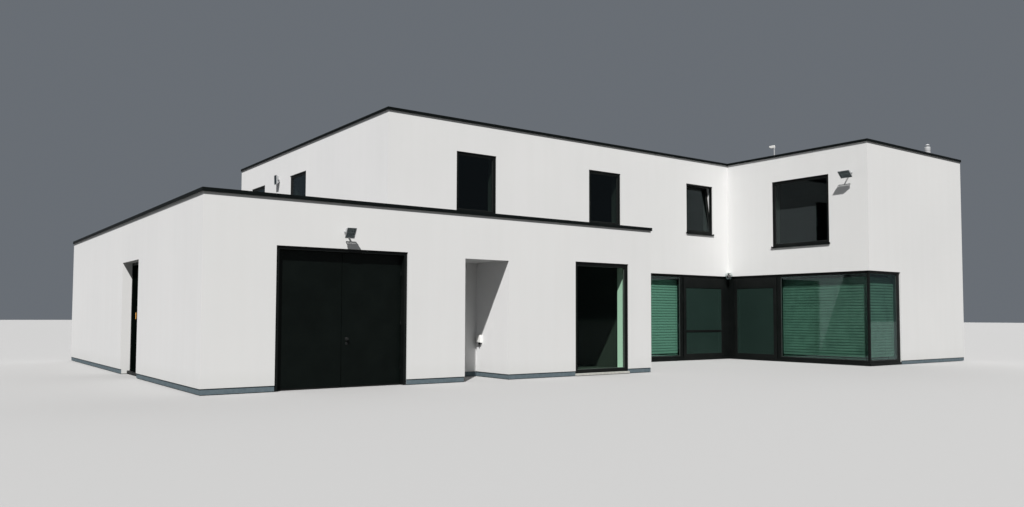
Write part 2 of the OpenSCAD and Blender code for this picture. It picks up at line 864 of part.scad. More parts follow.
module terrace_panes() {
    color("lightcyan", 0.4) {
        at_garden_face() fixed_pane(corner_w + garden_bay + post_w, garden_len - post_w);
        at_wing_face() fixed_pane(corner_w + wing_bay + post_w, wing_len);
        at_end_face() fixed_pane(glaze_in + end_post_w, end_w - post_w);
    }
}

// A frame with stiles, rails and an opening: used for the sliding leaves and the screens
module leaf_frame(w, d, top) {
    difference() {
        cube([w, d, slide_h]);
        translate([stile_w, -eps, stile_w]) cube([w - 2 * stile_w, d + 2 * eps, slide_h - stile_w - top]);
    }
}

// A sliding leaf closes its bay and the post beside it
function slide_w(bay) = bay + post_w - leaf_gap;

// A screen fits between the corner post and the post beside the bay
function screen_w(bay) = bay - 2 * leaf_gap;

module at_leaf(depth) translate([corner_w + leaf_gap, depth, slide_out_z]) children();

module slider(bay) at_leaf(slide_in) leaf_frame(slide_w(bay), slide_d, top_rail_h);

module slider_pane(bay) at_leaf(slide_in) translate([stile_w, slide_d / 2 - pane_t / 2, stile_w])
    cube([slide_w(bay) - 2 * stile_w, pane_t, slide_h - stile_w - top_rail_h]);

module garden_slider() color("black") at_garden_face() slider(garden_bay);

module garden_slider_pane() color("lightcyan", 0.4) at_garden_face() slider_pane(garden_bay);

module wing_slider() color("black") at_wing_face() slider(wing_bay);

module wing_slider_pane() color("lightcyan", 0.4) at_wing_face() slider_pane(wing_bay);

module screen(bay) at_leaf(screen_in) {
    leaf_frame(screen_w(bay), screen_d, screen_top_h);
    translate([stile_w, 0, mid_rail_z - slide_out_z])
        cube([screen_w(bay) - 2 * stile_w, screen_d, mid_rail_h]);
    translate([stile_w - eps, screen_d / 2 - mesh_t / 2, stile_w - eps])
        cube([screen_w(bay) - 2 * stile_w + 2 * eps, mesh_t, slide_h - stile_w - screen_top_h + 2 * eps]);
}

module garden_screen() color("dimgray") at_garden_face() screen(garden_bay);

module wing_screen() color("dimgray") at_wing_face() screen(wing_bay);

// Venetian blinds of curved slats

// A slat is a strip of a thin tube, so its cross-section is a curve tilted down to the outside
module slat(length) {
    half = asin(slat_w / 2 / slat_r);
    far = 2 * slat_r;
    rotate([90, 0, 90]) linear_extrude(length) rotate([0, 0, slat_tilt])
        translate([0, -slat_r]) intersection() {
            difference() {
                circle(slat_r, $fn = 96);
                circle(slat_r - slat_t, $fn = 96);
            }
            polygon([[0, 0], [-far * sin(half), far * cos(half)], [far * sin(half), far * cos(half)]]);
        }
}

// One blind: slats on cords between a head box and a foot bar
module blind(x1, x2) {
    z1 = floor_h + rail_h + slat_pitch / 2;
    z2 = glaze_head - blind_box_h;
    count = floor((z2 - slat_w / 2 - z1) / slat_pitch);
    step = (x2 - x1 - 2 * cord_end) / cord_gaps;
    cord = x1 + cord_end - cord_w / 2;
    for (k = [1 : count]) translate([x1, blind_in, z1 + k * slat_pitch]) slat(x2 - x1);
    block(x1, x2, blind_in - blind_box_w / 2, blind_in + blind_box_w / 2, z2, glaze_head - seat);
    block(x1, x2, blind_in - foot_bar_w / 2, blind_in + foot_bar_w / 2, z1 - foot_bar_h, z1);
    for (k = [0 : cord_gaps]) translate([cord + k * step, blind_in - cord_w / 2, z1 - eps])
        cube([cord_w, cord_w, z2 - z1 + 2 * eps]);
}

module terrace_blinds() {
    color("honeydew") {
        at_garden_face() blind(corner_w + garden_bay + blind_edge, garden_len - blind_edge);
        at_wing_face() blind(corner_w + wing_bay + blind_edge, wing_len - blind_edge);
        at_end_face() blind(blind_in + (slat_w + blind_edge) / 2, end_w - blind_edge);
    }
}

// Lift-off hinges: the lower half stands on the frame and the upper half sits on it. Both are drawn
// from the hinge's axis, with the frame towards -x and the leaf towards +y.
module hinge_on_frame() {
    cylinder(r = hinge_r, h = knuckle_h);
    block(seat - pivot_off, 0, -hinge_plate / 2, hinge_plate / 2, 0, knuckle_h);
}

module hinge_on_leaf() translate([0, 0, knuckle_h + seat]) {
    cylinder(r = hinge_r, h = knuckle_h);
    block(-hinge_plate / 2, hinge_plate / 2, 0, axis_off - seat, 0, knuckle_h);
    block(-hinge_plate / 2, 2 * hinge_r, axis_off - seat - hinge_plate, axis_off - seat, 0, knuckle_h);
}

// Garage door: two leaves that open outwards. The left half is drawn; the right half mirrors it.
garage_leaf_w = garage_w / 2 - jamb_w - 1.5 * leaf_gap;
garage_leaf_h = door_head - jamb_w - 2 * leaf_gap;
garage_back = garage_in + garage_leaf_t;
pivot_x = jamb_w + pivot_off;

module at_garage_left() translate([x_garage, y_low, 0]) children();

module at_garage_right() translate([x_garage_2, y_low, 0]) mirror([1, 0, 0]) children();

module garage_hinges() for (z = hinge_z) translate([pivot_x, garage_in - axis_off, z]) children();

module garage_jamb() {
    block(0, jamb_w, foot_in + 5, garage_back, 0, door_head - jamb_w - seat);
    garage_hinges() hinge_on_frame();
}

module garage_door_frame() {
    color("black") {
        at_garage_left() garage_jamb();
        at_garage_right() garage_jamb();
        at_garage_left() block(0, garage_w, foot_in + 5, garage_back, door_head - jamb_w, door_head - seat);
    }
}

module garage_leaf() {
    translate([jamb_w + leaf_gap, garage_in, leaf_gap]) cube([garage_leaf_w, garage_leaf_t, garage_leaf_h]);
    garage_hinges() hinge_on_leaf();
}

module garage_left_leaf() color("black") at_garage_left() garage_leaf();

module garage_right_leaf() {
    color("black") at_garage_right() {
        garage_leaf();
        translate([garage_w / 2 - knob_off, garage_in + eps, knob_z]) rotate([90, 0, 0]) {
            cylinder(r = knob_r / 2, h = knob_d);
            translate([0, 0, knob_d / 2]) cylinder(r = knob_r, h = knob_d / 2);
        }
    }
}

// Side door: two leaves that open inwards. x runs along the wall from one jamb, y into the house.
side_leaf_w = side_door_w / 2 - jamb_w - 1.5 * leaf_gap;
side_leaf_h = side_head - jamb_w - threshold_h - 2 * leaf_gap;
side_back = side_in + side_leaf_t;
side_jamb_back = side_back + axis_off + hinge_r;

module at_side_left() translate([x_low, y_side_2, 0]) rotate([0, 0, -90]) children();

module at_side_right() translate([x_low, y_side, 0]) rotate([0, 0, -90]) mirror([1, 0, 0]) children();

module side_hinges() for (z = hinge_z)
    translate([pivot_x, side_back + axis_off, z]) mirror([0, 1, 0]) children();

module side_jamb() {
    block(0, jamb_w, side_in, side_jamb_back, threshold_h, side_head - jamb_w - seat);
    side_hinges() hinge_on_frame();
}

module side_door_frame() {
    color("black") {
        at_side_left() side_jamb();
        at_side_right() side_jamb();
        at_side_left() {
            block(0, side_door_w, side_in, side_jamb_back, side_head - jamb_w, side_head - seat);
            block(0, side_door_w, side_in - jamb_w, wall_t, 0, threshold_h - seat);
        }
    }
}

module side_leaf() {
    translate([jamb_w + leaf_gap, side_in, threshold_h + leaf_gap])
        cube([side_leaf_w, side_leaf_t, side_leaf_h]);
    side_hinges() hinge_on_leaf();
}

module side_left_leaf() {
    color("black") at_side_left() {
        side_leaf();
        translate([side_door_w / 2 - pull_off, side_in - pull_d, pull_z]) {
            for (z = [pull_h / 8, pull_h * 7 / 8]) translate([0, pull_d + eps, z]) rotate([90, 0, 0])
                cylinder(r = pull_r / 2, h = pull_d);
            cylinder(r = pull_r, h = pull_h);
        }
    }
}

module side_right_leaf() color("black") at_side_right() side_leaf();

// Front door on the unseen side, with a side light, drawn as one closed unit: a frame with a post
// in it, and the leaf set back between them
door_rise = door_head - seat - step_h;
door_post_x = front_door_w - jamb_w - side_light_w;

module at_front_door() face_at([x_right, y_back], 180) translate([front_door_x, side_in, step_h])
    children();

module front_door() {
    color("black") at_front_door() {
        ring(front_door_w, door_rise, side_leaf_t, jamb_w);
        block(door_post_x - jamb_w, door_post_x, 0, side_leaf_t, jamb_w - eps, door_rise - jamb_w + eps);
        block(jamb_w - eps, door_post_x - jamb_w + eps, door_step, side_leaf_t - door_step,
              jamb_w - eps, door_rise - jamb_w + eps);
    }
}

// Lamps on the walls

// A head that looks along -y: a rim with the glass set back in it, a tapered body and fins behind
module lamp_head(w, h) {
    front = -lamp_t / 2;
    body = lamp_t / 2 - fin_d;
    back_h = h / 2 - lamp_taper;
    difference() {
        rotate([90, 0, 90]) translate([0, 0, -w / 2]) linear_extrude(w) polygon([
            [front, -h / 2], [front + lamp_rim, -h / 2], [body, -back_h],
            [body, back_h], [front + lamp_rim, h / 2], [front, h / 2]
        ]);
        block(lamp_rim - w / 2, w / 2 - lamp_rim, front - eps, front + lamp_glass_in,
              lamp_rim - h / 2, h / 2 - lamp_rim);
    }
    for (k = [0 : fin_count - 1]) translate([(k + 0.5) * w / fin_count - w / 2 - fin_t / 2, 0, 0])
        block(0, fin_t, body - eps, lamp_t / 2, -back_h, back_h);
}

// A round base, an arm, a forked bracket and a head that turns on a bolt between its prongs, drawn
// from the point on the wall
module floodlight(w, h, out, tilt) {
    reach = (lamp_t / 2 + fork_w / 2 * sin(tilt)) / cos(tilt) + fork_gap;
    side = w / 2 + fork_gap;
    rotate([90, 0, 0]) cylinder(r = lamp_base_r, h = lamp_base_t);
    block(-lamp_arm_w / 2, lamp_arm_w / 2, reach - out, eps - lamp_base_t, -lamp_arm_w / 2, lamp_arm_w / 2);
    translate([0, -out, 0]) {
        difference() {
            block(-side - fork_t, side + fork_t, -fork_w / 2, reach + fork_t, -fork_w / 2, fork_w / 2);
            block(-side, side, -fork_w, reach, -fork_w, fork_w);
        }
        translate([-side - fork_t - bolt_out, 0, 0]) rotate([0, 90, 0])
            cylinder(r = bolt_r, h = 2 * (side + fork_t + bolt_out));
        rotate([tilt, 0, 0]) lamp_head(w, h);
    }
}

module wall_lamps() {
    color("lightgray") {
        face_at([x_low, y_low], 0) translate([garage_lamp_x, 0, garage_lamp_z])
            floodlight(garage_lamp_w, garage_lamp_h, garage_lamp_out, garage_lamp_tilt);
        face_at([x_main, y_back], -90) translate([left_lamp_x, 0, left_lamp_z])
            floodlight(left_lamp_w, left_lamp_h, left_lamp_out, left_lamp_tilt);
        face_at([x_wing, y_main], -90) translate([wing_lamp_x, 0, wing_lamp_z])
            floodlight(wing_lamp_w, wing_lamp_h, wing_lamp_out, wing_lamp_tilt);
        translate([x_wing - globe_r, y_main - globe_r, glaze_head + globe_up]) sphere(r = globe_r);
    }
}

// A vent pipe with a cap on a rod, turned in one piece
module vent_pipe() {
    cap_z = vent_h + vent_gap;
    rotate_extrude() polygon([
        [0, 0], [vent_r, 0], [vent_r, vent_h - vent_shoulder], [vent_r - vent_shoulder, vent_h],
        [vent_rod_r, vent_h], [vent_rod_r, cap_z], [vent_cap_r, cap_z],
        [vent_cap_r, cap_z + vent_cap_h / 2], [vent_rod_r, cap_z + vent_cap_h], [0, cap_z + vent_cap_h]
    ]);
}

// A wind sensor on its mast, with its nose rounded off below
module wind_sensor() {
    front = sensor_l - mast_r;
    cylinder(r = mast_r, h = mast_h);
    translate([-sensor_w / 2, 0, mast_h - eps]) rotate([90, 0, 90]) linear_extrude(sensor_w) polygon([
        [-mast_r, 0], [front - sensor_h, 0], [front - sensor_h / 3, sensor_h / 4],
        [front, sensor_h * 0.6], [front, sensor_h], [-mast_r, sensor_h]
    ]);
}

module roof_fittings() {
    z = roof_top + cover_t;
    color("gray") {
        translate([xi_right - vent_x, yi_wing + vent_y, z]) vent_pipe();
        translate([xi_wing + mast_x, y_main - mast_y, z]) wind_sensor();
    }
}

garage_floor();
front_room_floor();
main_floor();
wing_floor();
plinth_strips();
garage_front_piers();
garage_front_lintel();
garage_side_piers();
garage_side_lintel();
garage_back_wall();
front_room_end_wall();
porch_walls();
porch_ceiling();
porch_wall_box();
terrace_piers();
upper_front_wall();
main_left_wall();
main_back_wall();
main_right_wall();
wing_side_wall();
wing_front_wall();
upper_floor();
upper_wing_floor();
garage_roof_slab();
front_room_roof_slab();
main_roof_slab();
wing_roof_slab();
roof_covering();
main_coping();
low_coping();
window_frames();
window_sashes();
window_panes();
window_sills();
stone_thresholds();
terrace_frames();
terrace_panes();
terrace_blinds();
garden_slider();
garden_slider_pane();
wing_slider();
wing_slider_pane();
garden_screen();
wing_screen();
garage_door_frame();
garage_left_leaf();
garage_right_leaf();
side_door_frame();
side_left_leaf();
side_right_leaf();
front_door();
wall_lamps();
roof_fittings();
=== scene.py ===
import bpy, bmesh, json
from math import asin, atan2, cos, pi, radians, sin, sqrt
from mathutils import Matrix, Vector

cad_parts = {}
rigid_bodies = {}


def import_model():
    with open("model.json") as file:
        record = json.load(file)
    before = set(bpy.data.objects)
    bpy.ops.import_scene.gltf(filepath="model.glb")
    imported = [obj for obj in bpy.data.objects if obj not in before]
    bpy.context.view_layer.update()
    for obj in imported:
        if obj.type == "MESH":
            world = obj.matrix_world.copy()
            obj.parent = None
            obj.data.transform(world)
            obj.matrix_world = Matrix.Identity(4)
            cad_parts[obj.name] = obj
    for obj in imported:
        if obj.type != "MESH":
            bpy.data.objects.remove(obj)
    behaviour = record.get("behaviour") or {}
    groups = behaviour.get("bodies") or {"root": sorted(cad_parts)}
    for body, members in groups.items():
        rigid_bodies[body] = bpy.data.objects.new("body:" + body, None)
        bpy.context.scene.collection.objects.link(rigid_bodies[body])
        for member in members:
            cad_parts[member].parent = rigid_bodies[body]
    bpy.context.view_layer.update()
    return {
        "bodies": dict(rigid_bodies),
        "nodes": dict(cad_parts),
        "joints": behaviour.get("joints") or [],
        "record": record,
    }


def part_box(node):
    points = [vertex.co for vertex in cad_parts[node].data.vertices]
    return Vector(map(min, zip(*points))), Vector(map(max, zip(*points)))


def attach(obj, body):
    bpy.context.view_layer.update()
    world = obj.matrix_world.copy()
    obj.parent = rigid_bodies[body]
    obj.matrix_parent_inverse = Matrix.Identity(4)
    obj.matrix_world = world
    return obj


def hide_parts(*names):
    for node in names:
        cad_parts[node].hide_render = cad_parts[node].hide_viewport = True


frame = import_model()
nodes = frame["nodes"]
scene = bpy.context.scene

# Picture size, place of the camera, its focal length and middle in pixels, its angles in degrees
IMAGE_W, IMAGE_H = 1024, 507
CAM_AT = Vector((-15.2066, -20.1243, 1.3209))
CAM_F, CAM_CY = 829.83, 274.73
CAM_YAW, CAM_PITCH, CAM_ROLL = 36.2117, 2.8542, 0.1847
SENSOR_W, FAR = 36, 400


def placed(name, data):
    obj = bpy.data.objects.new(name, data)
    scene.collection.objects.link(obj)
    return obj


def make_camera():
    yaw, pitch, roll = (radians(a) for a in (CAM_YAW, CAM_PITCH, CAM_ROLL))
    forward = Vector((sin(yaw) * cos(pitch), cos(yaw) * cos(pitch), sin(pitch)))
    right = Vector((cos(yaw), -sin(yaw), 0))
    up = right.cross(forward)
    x = cos(roll) * right + sin(roll) * up
    y = -sin(roll) * right + cos(roll) * up
    data = bpy.data.cameras.new("view")
    data.sensor_width = SENSOR_W
    data.lens = CAM_F / IMAGE_W * SENSOR_W
    data.shift_y = (CAM_CY - IMAGE_H / 2) / IMAGE_W
    data.clip_end = FAR
    cam = placed("view", data)
    turn = Matrix((x, y, -forward)).transposed()
    cam.matrix_world = Matrix.Translation(CAM_AT) @ turn.to_4x4()
    scene.camera = cam


make_camera()
scene.view_settings.view_transform = "Standard"


# Plan lines of the house, in metres
(X_LOW, Y_LOW, _), (X_END, Y_LINTEL, Z_LOW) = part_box("garage_front_lintel")
_, (X_RIGHT, Y_BACK, Z_MAIN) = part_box("main_back_wall")
X_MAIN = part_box("main_left_wall")[0].x
Y_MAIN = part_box("upper_front_wall")[0].y
X_WING, Y_WING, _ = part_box("wing_side_wall")[0]
Y_LOW_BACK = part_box("garage_back_wall")[1].y
PORCH_LOW, PORCH_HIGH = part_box("porch_ceiling")
WALL = Y_LINTEL - Y_LOW

# Boxes that hold the rooms' inner faces, each from a low corner to a high one, and the painted shade that darkens
# those faces, darkest in the front room, so the rooms look dark through the windows
DEEP, FLOOR_Z, LOW_CEILING, CEILING = WALL - 0.002, 0.05, 2.71, Z_MAIN - 0.3
ROOMS = [((X_LOW + DEEP, Y_LOW + DEEP, FLOOR_Z), (X_END - DEEP, Y_LOW_BACK - DEEP, LOW_CEILING)),
         ((X_MAIN + DEEP, Y_MAIN + DEEP, FLOOR_Z), (X_RIGHT - DEEP, Y_BACK - DEEP, CEILING)),
         ((X_WING + DEEP, Y_WING + DEEP, FLOOR_Z), (X_RIGHT - DEEP, Y_BACK - DEEP, CEILING))]
PORCH_X, PORCH_Y = PORCH_HIGH.x + 0.01, PORCH_HIGH.y + 0.01
PORCH = ((PORCH_LOW.x - 0.01, None, None), (PORCH_X, PORCH_Y, None))
FRONT_ROOM = ((PORCH_X + 0.1, None, None), (None, Y_MAIN, Z_LOW))
ROOM_PAINTED_SHADE = (0.08, 0.08, 0.076)
FRONT_ROOM_PAINTED_SHADE = (0.025, 0.025, 0.024)

# Painted light: left faces and the porch's right wall are painted this much paler, standing in for the light that
# pale ground throws on them
BOUNCE_LIT_FACES = [((None, None, None), (X_LOW + 0.002, None, None)),
               ((X_MAIN - 0.002, Y_MAIN, Z_LOW - 0.5), (X_MAIN + 0.002, None, None)),
               ((PORCH_X - 0.02, Y_LOW + 0.002, None), (PORCH_X + 0.01, PORCH_Y + 0.02, Z_LOW - 0.3))]
BOUNCE_LIGHT_GAIN = (1.1, 1.1, 1.11)


# Materials
class Tree:
    """Nodes and links of a shader."""

    def __init__(self, tree):
        self.n, self.l = tree.nodes, tree.links

    def feed(self, socket, value):
        """Links an output to a socket, or sets a constant on it."""
        if hasattr(value, "is_output"):
            self.l.new(value, socket)
        else:
            socket.default_value = (*value, 1) if socket.type == "RGBA" else value

    def node(self, kind, feeds, **settings):
        made = self.n.new(kind)
        for key, value in settings.items():
            setattr(made, key, value)
        for key, value in feeds.items():
            self.feed(made.inputs[key], value)
        return made

    def mix(self, fac, a, b, kind="MIX"):
        return self.node("ShaderNodeMix", {0: fac, 6: a, 7: b}, data_type="RGBA", blend_type=kind).outputs[2]

    def math(self, op, a, b=0.5, clamp=False):
        return self.node("ShaderNodeMath", {0: a, 1: b}, operation=op, use_clamp=clamp).outputs[0]

    def seen_or_lit(self, seen, lit):
        """A colour for what the camera, mirrors and glass see, and another for the light it throws back."""
        rays = self.node("ShaderNodeLightPath", {}).outputs
        direct = self.math("MAXIMUM", rays["Is Camera Ray"], rays["Is Glossy Ray"])
        return self.mix(self.math("MAXIMUM", direct, rays["Is Transmission Ray"]), lit, seen)


class Graph(Tree):
    """A material, its pattern laid out in the object's metres."""

    def __init__(self, name, **flat):
        self.mat = bpy.data.materials.new(name)
        self.mat.use_nodes = True
        super().__init__(self.mat.node_tree)
        self.bsdf = self.n["Principled BSDF"]
        for key, value in flat.items():
            self.bsdf.inputs[key.replace("_", " ")].default_value = value
        self.pos = self.n.new("ShaderNodeTexCoord").outputs["Object"]

    def noise(self, scale, detail=4.0, rough=0.55, stretch=None):
        pos = self.pos
        if stretch:
            pos = self.node("ShaderNodeMapping", {"Scale": stretch, "Vector": pos}).outputs["Vector"]
        feeds = {"Scale": scale, "Detail": detail, "Roughness": rough, "Vector": pos}
        return self.node("ShaderNodeTexNoise", feeds).outputs["Fac"]

    def ramp(self, fac, stops):
        made = self.node("ShaderNodeValToRGB", {"Fac": fac})
        for end, (at, col) in zip(made.color_ramp.elements, stops):
            end.position, end.color = at, (*col, 1)
        return made.outputs["Color"]

    def spread(self, fac, low, high):
        return self.node("ShaderNodeMapRange", {"Value": fac, "To Min": low, "To Max": high}).outputs["Result"]

    def colour(self, out):
        self.l.new(out, self.bsdf.inputs["Base Color"])

    def rough(self, out):
        self.l.new(out, self.bsdf.inputs["Roughness"])

    def bump(self, height, strength, distance, shader=None):
        made = self.node("ShaderNodeBump", {"Strength": strength, "Distance": distance, "Height": height})
        self.l.new(made.outputs["Normal"], (shader or self.bsdf).inputs["Normal"])

    def axes(self):
        return list(self.node("ShaderNodeSeparateXYZ", {"Vector": self.pos}).outputs)

    def inside(self, low, high):
        """1 within a box given in metres, each side left open by None."""
        found = None
        for value, a, b in zip(self.axes(), low, high):
            for kind, bound in (("GREATER_THAN", a), ("LESS_THAN", b)):
                if bound is not None:
                    test = self.math(kind, value, bound)
                    found = test if found is None else self.math("MULTIPLY", found, test)
        return found

    def within(self, boxes):
        """1 within any of the boxes."""
        found = 0.0
        for box in boxes:
            found = self.math("MAXIMUM", found, self.inside(*box))
        return found


def white_render():
    """Rough render: splashed at its foot, painted shade darkening the rooms' inner faces, and painted light making
    the left faces and the porch's right wall a little paler.
    """
    g = Graph("white_render", Specular_IOR_Level=0.2)
    broad = g.ramp(g.noise(0.35, 3), [(0.3, (0.706, 0.708, 0.706)), (0.7, (0.734, 0.734, 0.73))])
    streak = g.ramp(g.noise(1.0, 3, 0.5, (5.0, 5.0, 0.25)), [(0.35, (0.978, 0.979, 0.975)), (0.62, (1, 1, 1))])
    col = g.mix(0.5, broad, streak, "MULTIPLY")
    low = g.math("MULTIPLY", g.math("SUBTRACT", 0.4, g.axes()[2], True), 1.3, True)
    splash = g.math("MULTIPLY", low, g.noise(2.5, 5, 0.65), True)
    col = g.mix(splash, col, (0.54, 0.55, 0.52))
    # Painted light: the left faces and the porch's right wall are made paler
    col = g.mix(g.within(BOUNCE_LIT_FACES), col, g.mix(1.0, col, BOUNCE_LIGHT_GAIN, "MULTIPLY"))
    # Painted shade: the rooms' inner faces, outside the porch, take a near-black colour
    rooms = g.math("SUBTRACT", g.within(ROOMS), g.inside(*PORCH), True)
    g.colour(g.mix(rooms, col, g.mix(g.inside(*FRONT_ROOM), ROOM_PAINTED_SHADE, FRONT_ROOM_PAINTED_SHADE)))
    g.rough(g.spread(g.noise(8.0, 2), 0.85, 0.97))
    grain = g.math("ADD", g.noise(420.0, 2, 0.6), g.math("MULTIPLY", g.noise(60.0, 3), 0.6))
    g.bump(grain, 0.35, 0.0012)
    return g.mat


def metal(name, base, rough=0.45, spec=0.35, dust=0.012, zones=()):
    """Painted or plain metal; a zone holds a low corner, a high corner and the colour between them."""
    g = Graph(name, Specular_IOR_Level=spec)
    dark = tuple(c * 0.85 for c in base)
    pale = tuple(min(1.0, c * 1.18 + 0.001) for c in base)
    col = g.ramp(g.noise(3.0, 4), [(0.3, dark), (0.7, pale)])
    for low, high, paint in zones:
        col = g.mix(g.inside(low, high), col, paint)
    film = g.math("MULTIPLY", g.math("SUBTRACT", g.noise(1.3, 5, 0.7), 0.5, True), dust * 6, True)
    g.colour(g.mix(film, col, (0.22, 0.22, 0.2)))
    g.rough(g.spread(g.noise(40.0, 3), rough - 0.06, rough + 0.1))
    g.bump(g.noise(900.0, 1), 0.12, 0.0004)
    return g.mat


def mineral(name, low, high, scale, rough=0.85, depth=0.002):
    """Stone, concrete or felt: patches between two colours, fine flecks and a coarse grain."""
    g = Graph(name, Specular_IOR_Level=0.3)
    col = g.ramp(g.noise(scale, 5, 0.65), [(0.3, low), (0.7, high)])
    fleck = g.ramp(g.noise(scale * 22, 2), [(0.42, (0.86, 0.86, 0.86)), (0.6, (1.06, 1.06, 1.06))])
    g.colour(g.mix(0.6, col, fleck, "MULTIPLY"))
    g.rough(g.spread(g.noise(30.0, 3), rough - 0.1, min(1.0, rough + 0.08)))
    g.bump(g.noise(scale * 12, 4, 0.65), 0.5, depth)
    return g.mat


# Parts of the windows whose mirroring is painted weaker or stronger, from a low corner to a high one, with its
# factor: painted reflection, since behind them the light differs
MIRRORS = [((None, None, None), (None, None, 3.3), 0.15), ((5.5, None, 4.55), (None, -3.2, None), 0.5),
           ((5.5, None, 3.3), (None, -3.2, 4.55), 1.35)]
MIRROR_TINT = (0.82, 0.96, 1.0)


def glass(name, tint, head_on, upper=None):
    """A clear sheet that lets the sun through straight, tinted, and mirrors more at a glance."""
    g = Graph(name)
    g.n.remove(g.bsdf)
    glance = g.node("ShaderNodeLayerWeight", {"Blend": 0.5}).outputs["Facing"]
    share = g.math("ADD", g.math("MULTIPLY", g.math("POWER", glance, 5.0), 1 - head_on), head_on, True)
    clear = g.ramp(g.noise(0.8, 2), [(0.3, tint), (0.7, tuple(c * 0.97 for c in tint))])
    if upper:
        clear = g.mix(g.inside((None, None, Z_LOW), (None, None, None)), clear, upper)
        # Painted reflection: the mirror's share is scaled in each zone
        for low, high, times in MIRRORS:
            zone = g.math("ADD", g.math("MULTIPLY", g.inside(low, high), times - 1.0), 1.0)
            share = g.math("MULTIPLY", share, zone)
    through = g.node("ShaderNodeBsdfTransparent", {"Color": clear})
    mirror = g.node("ShaderNodeBsdfGlossy", {"Roughness": 0.015, "Color": MIRROR_TINT})
    g.bump(g.noise(1.4, 2), 0.04, 0.004, mirror)
    mixer = g.node("ShaderNodeMixShader", {"Fac": share, 1: through.outputs[0], 2: mirror.outputs[0]})
    g.l.new(mixer.outputs[0], g.n["Material Output"].inputs["Surface"])
    return g.mat


def fly_mesh(pitch=0.0018, wire=0.34):
    """Painted wire mesh: solid on the wires, open between them."""
    g = Graph("fly_mesh", Specular_IOR_Level=0.2, Roughness=0.6)
    x, y, z = g.axes()
    hit = None
    for value in (g.math("ADD", x, y), z):
        part = g.math("LESS_THAN", g.math("FRACT", g.math("DIVIDE", value, pitch)), wire)
        hit = part if hit is None else g.math("MAXIMUM", hit, part)
    g.colour(g.ramp(g.noise(1.2, 3), [(0.3, (0.015, 0.033, 0.027)), (0.7, (0.018, 0.039, 0.032))]))
    g.l.new(hit, g.bsdf.inputs["Alpha"])
    return g.mat


# Painted light on the blinds: the garden side's are painted paler than the wing's, standing in for the stronger light
# they get, and all head boxes darker, painted shade under the frames' heads
BLIND_PAINTED_LIGHT_ZONES = [((None, None, None), (5.99, None, None), (0.48, 0.68, 0.6)),
               ((None, None, 2.53), (None, None, None), (0.14, 0.205, 0.19))]
MAT = {
    "render": white_render(),
    # Concrete painted near black: painted shade for the rooms' floors seen through the windows
    "concrete": mineral("concrete", (0.015, 0.015, 0.014), (0.026, 0.026, 0.024), 4.0, 0.85, 0.0004),
    "plinth": mineral("plinth", (0.094, 0.131, 0.152), (0.139, 0.179, 0.2), 12.0),
    "membrane": mineral("roof_membrane", (0.09, 0.09, 0.095), (0.15, 0.15, 0.15), 3.0, 0.9),
    "coping": metal("coping_metal", (0.003, 0.0045, 0.0045), 0.5, 0.08, 0.003),
    "frame": metal("frame_metal", (0.003, 0.0042, 0.004), 0.5, 0.15),
    "door": metal("door_paint", (0.001, 0.0026, 0.002), 0.5, 0.1, 0.002),
    "side_door": metal("side_door_paint", (0.001, 0.0026, 0.002), 0.6, 0.0, 0.001),
    "stone": mineral("pale_stone", (0.42, 0.42, 0.39), (0.58, 0.58, 0.54), 20.0, 0.7),
    "glass": glass("terrace_glass", (0.66, 0.76, 0.72), 0.04),
    "window": glass("window_glass", (0.87, 0.985, 0.91), 0.03, (0.36, 0.4, 0.38)),
    "blinds": metal("blind_paint", (0.255, 0.365, 0.32), 0.5, zones=BLIND_PAINTED_LIGHT_ZONES),
    "screen": metal("screen_metal", (0.004, 0.005, 0.0048), 0.5, 0.15),
    "lamp": metal("lamp_paint", (0.42, 0.43, 0.44), 0.4),
    "fitting": metal("fitting_paint", (0.42, 0.43, 0.44), 0.4),
    "cover": metal("cover_plastic", (0.74, 0.74, 0.72), 0.5, 0.4, 0.03),
    "rubber": mineral("seal_rubber", (0.006, 0.006, 0.006), (0.012, 0.012, 0.012), 60.0, 0.75, 0.0004),
    "spacer": metal("spacer_metal", (0.1, 0.1, 0.1), 0.5),
    "steel": metal("brushed_steel", (0.3, 0.31, 0.31), 0.35, 0.6),
    "hardware": metal("black_hardware", (0.012, 0.013, 0.013), 0.45, 0.15),
    "bulb": metal("smoked_cup", (0.03, 0.014, 0.015), 0.3, 0.4),
    "brass": metal("brass", (0.62, 0.3, 0.06), 0.3, 0.6),
    "cord": metal("cord_yarn", (0.34, 0.4, 0.37), 0.8, 0.1),
    "lead": metal("lead_sheet", (0.12, 0.125, 0.13), 0.6),
    "mirror": metal("lamp_reflector", (0.14, 0.145, 0.15), 0.3, 0.6),
    "lamp_glass": glass("lamp_glass", (0.55, 0.58, 0.57), 0.06),
    "globe": glass("globe_glass", (0.95, 0.96, 0.955), 0.05),
    "mesh": fly_mesh(),
}

# The look of every node
WALLS = ("porch_ceiling", "_wall", "_walls", "_piers", "_lintel")
PAINTED = {
    "render": [n for n in nodes if n.endswith(WALLS)],
    "concrete": [n for n in nodes if n.endswith(("_floor", "_slab"))],
    "plinth": ["plinth_strips"],
    "membrane": ["roof_covering"],
    "coping": ["main_coping", "low_coping", "window_sills"],
    "frame": ["window_frames", "window_sashes", "terrace_frames", "garden_slider", "wing_slider",
              "garage_door_frame", "side_door_frame"],
    "door": ["garage_left_leaf", "garage_right_leaf", "front_door"],
    "side_door": ["side_left_leaf", "side_right_leaf"],
    "stone": ["stone_thresholds"],
    "glass": ["terrace_panes", "garden_slider_pane", "wing_slider_pane"],
    "window": ["window_panes"],
    "blinds": ["terrace_blinds"],
    "screen": ["garden_screen", "wing_screen"],
    "lamp": ["wall_lamps"],
    "fitting": ["roof_fittings"],
    "cover": ["porch_wall_box"],
}
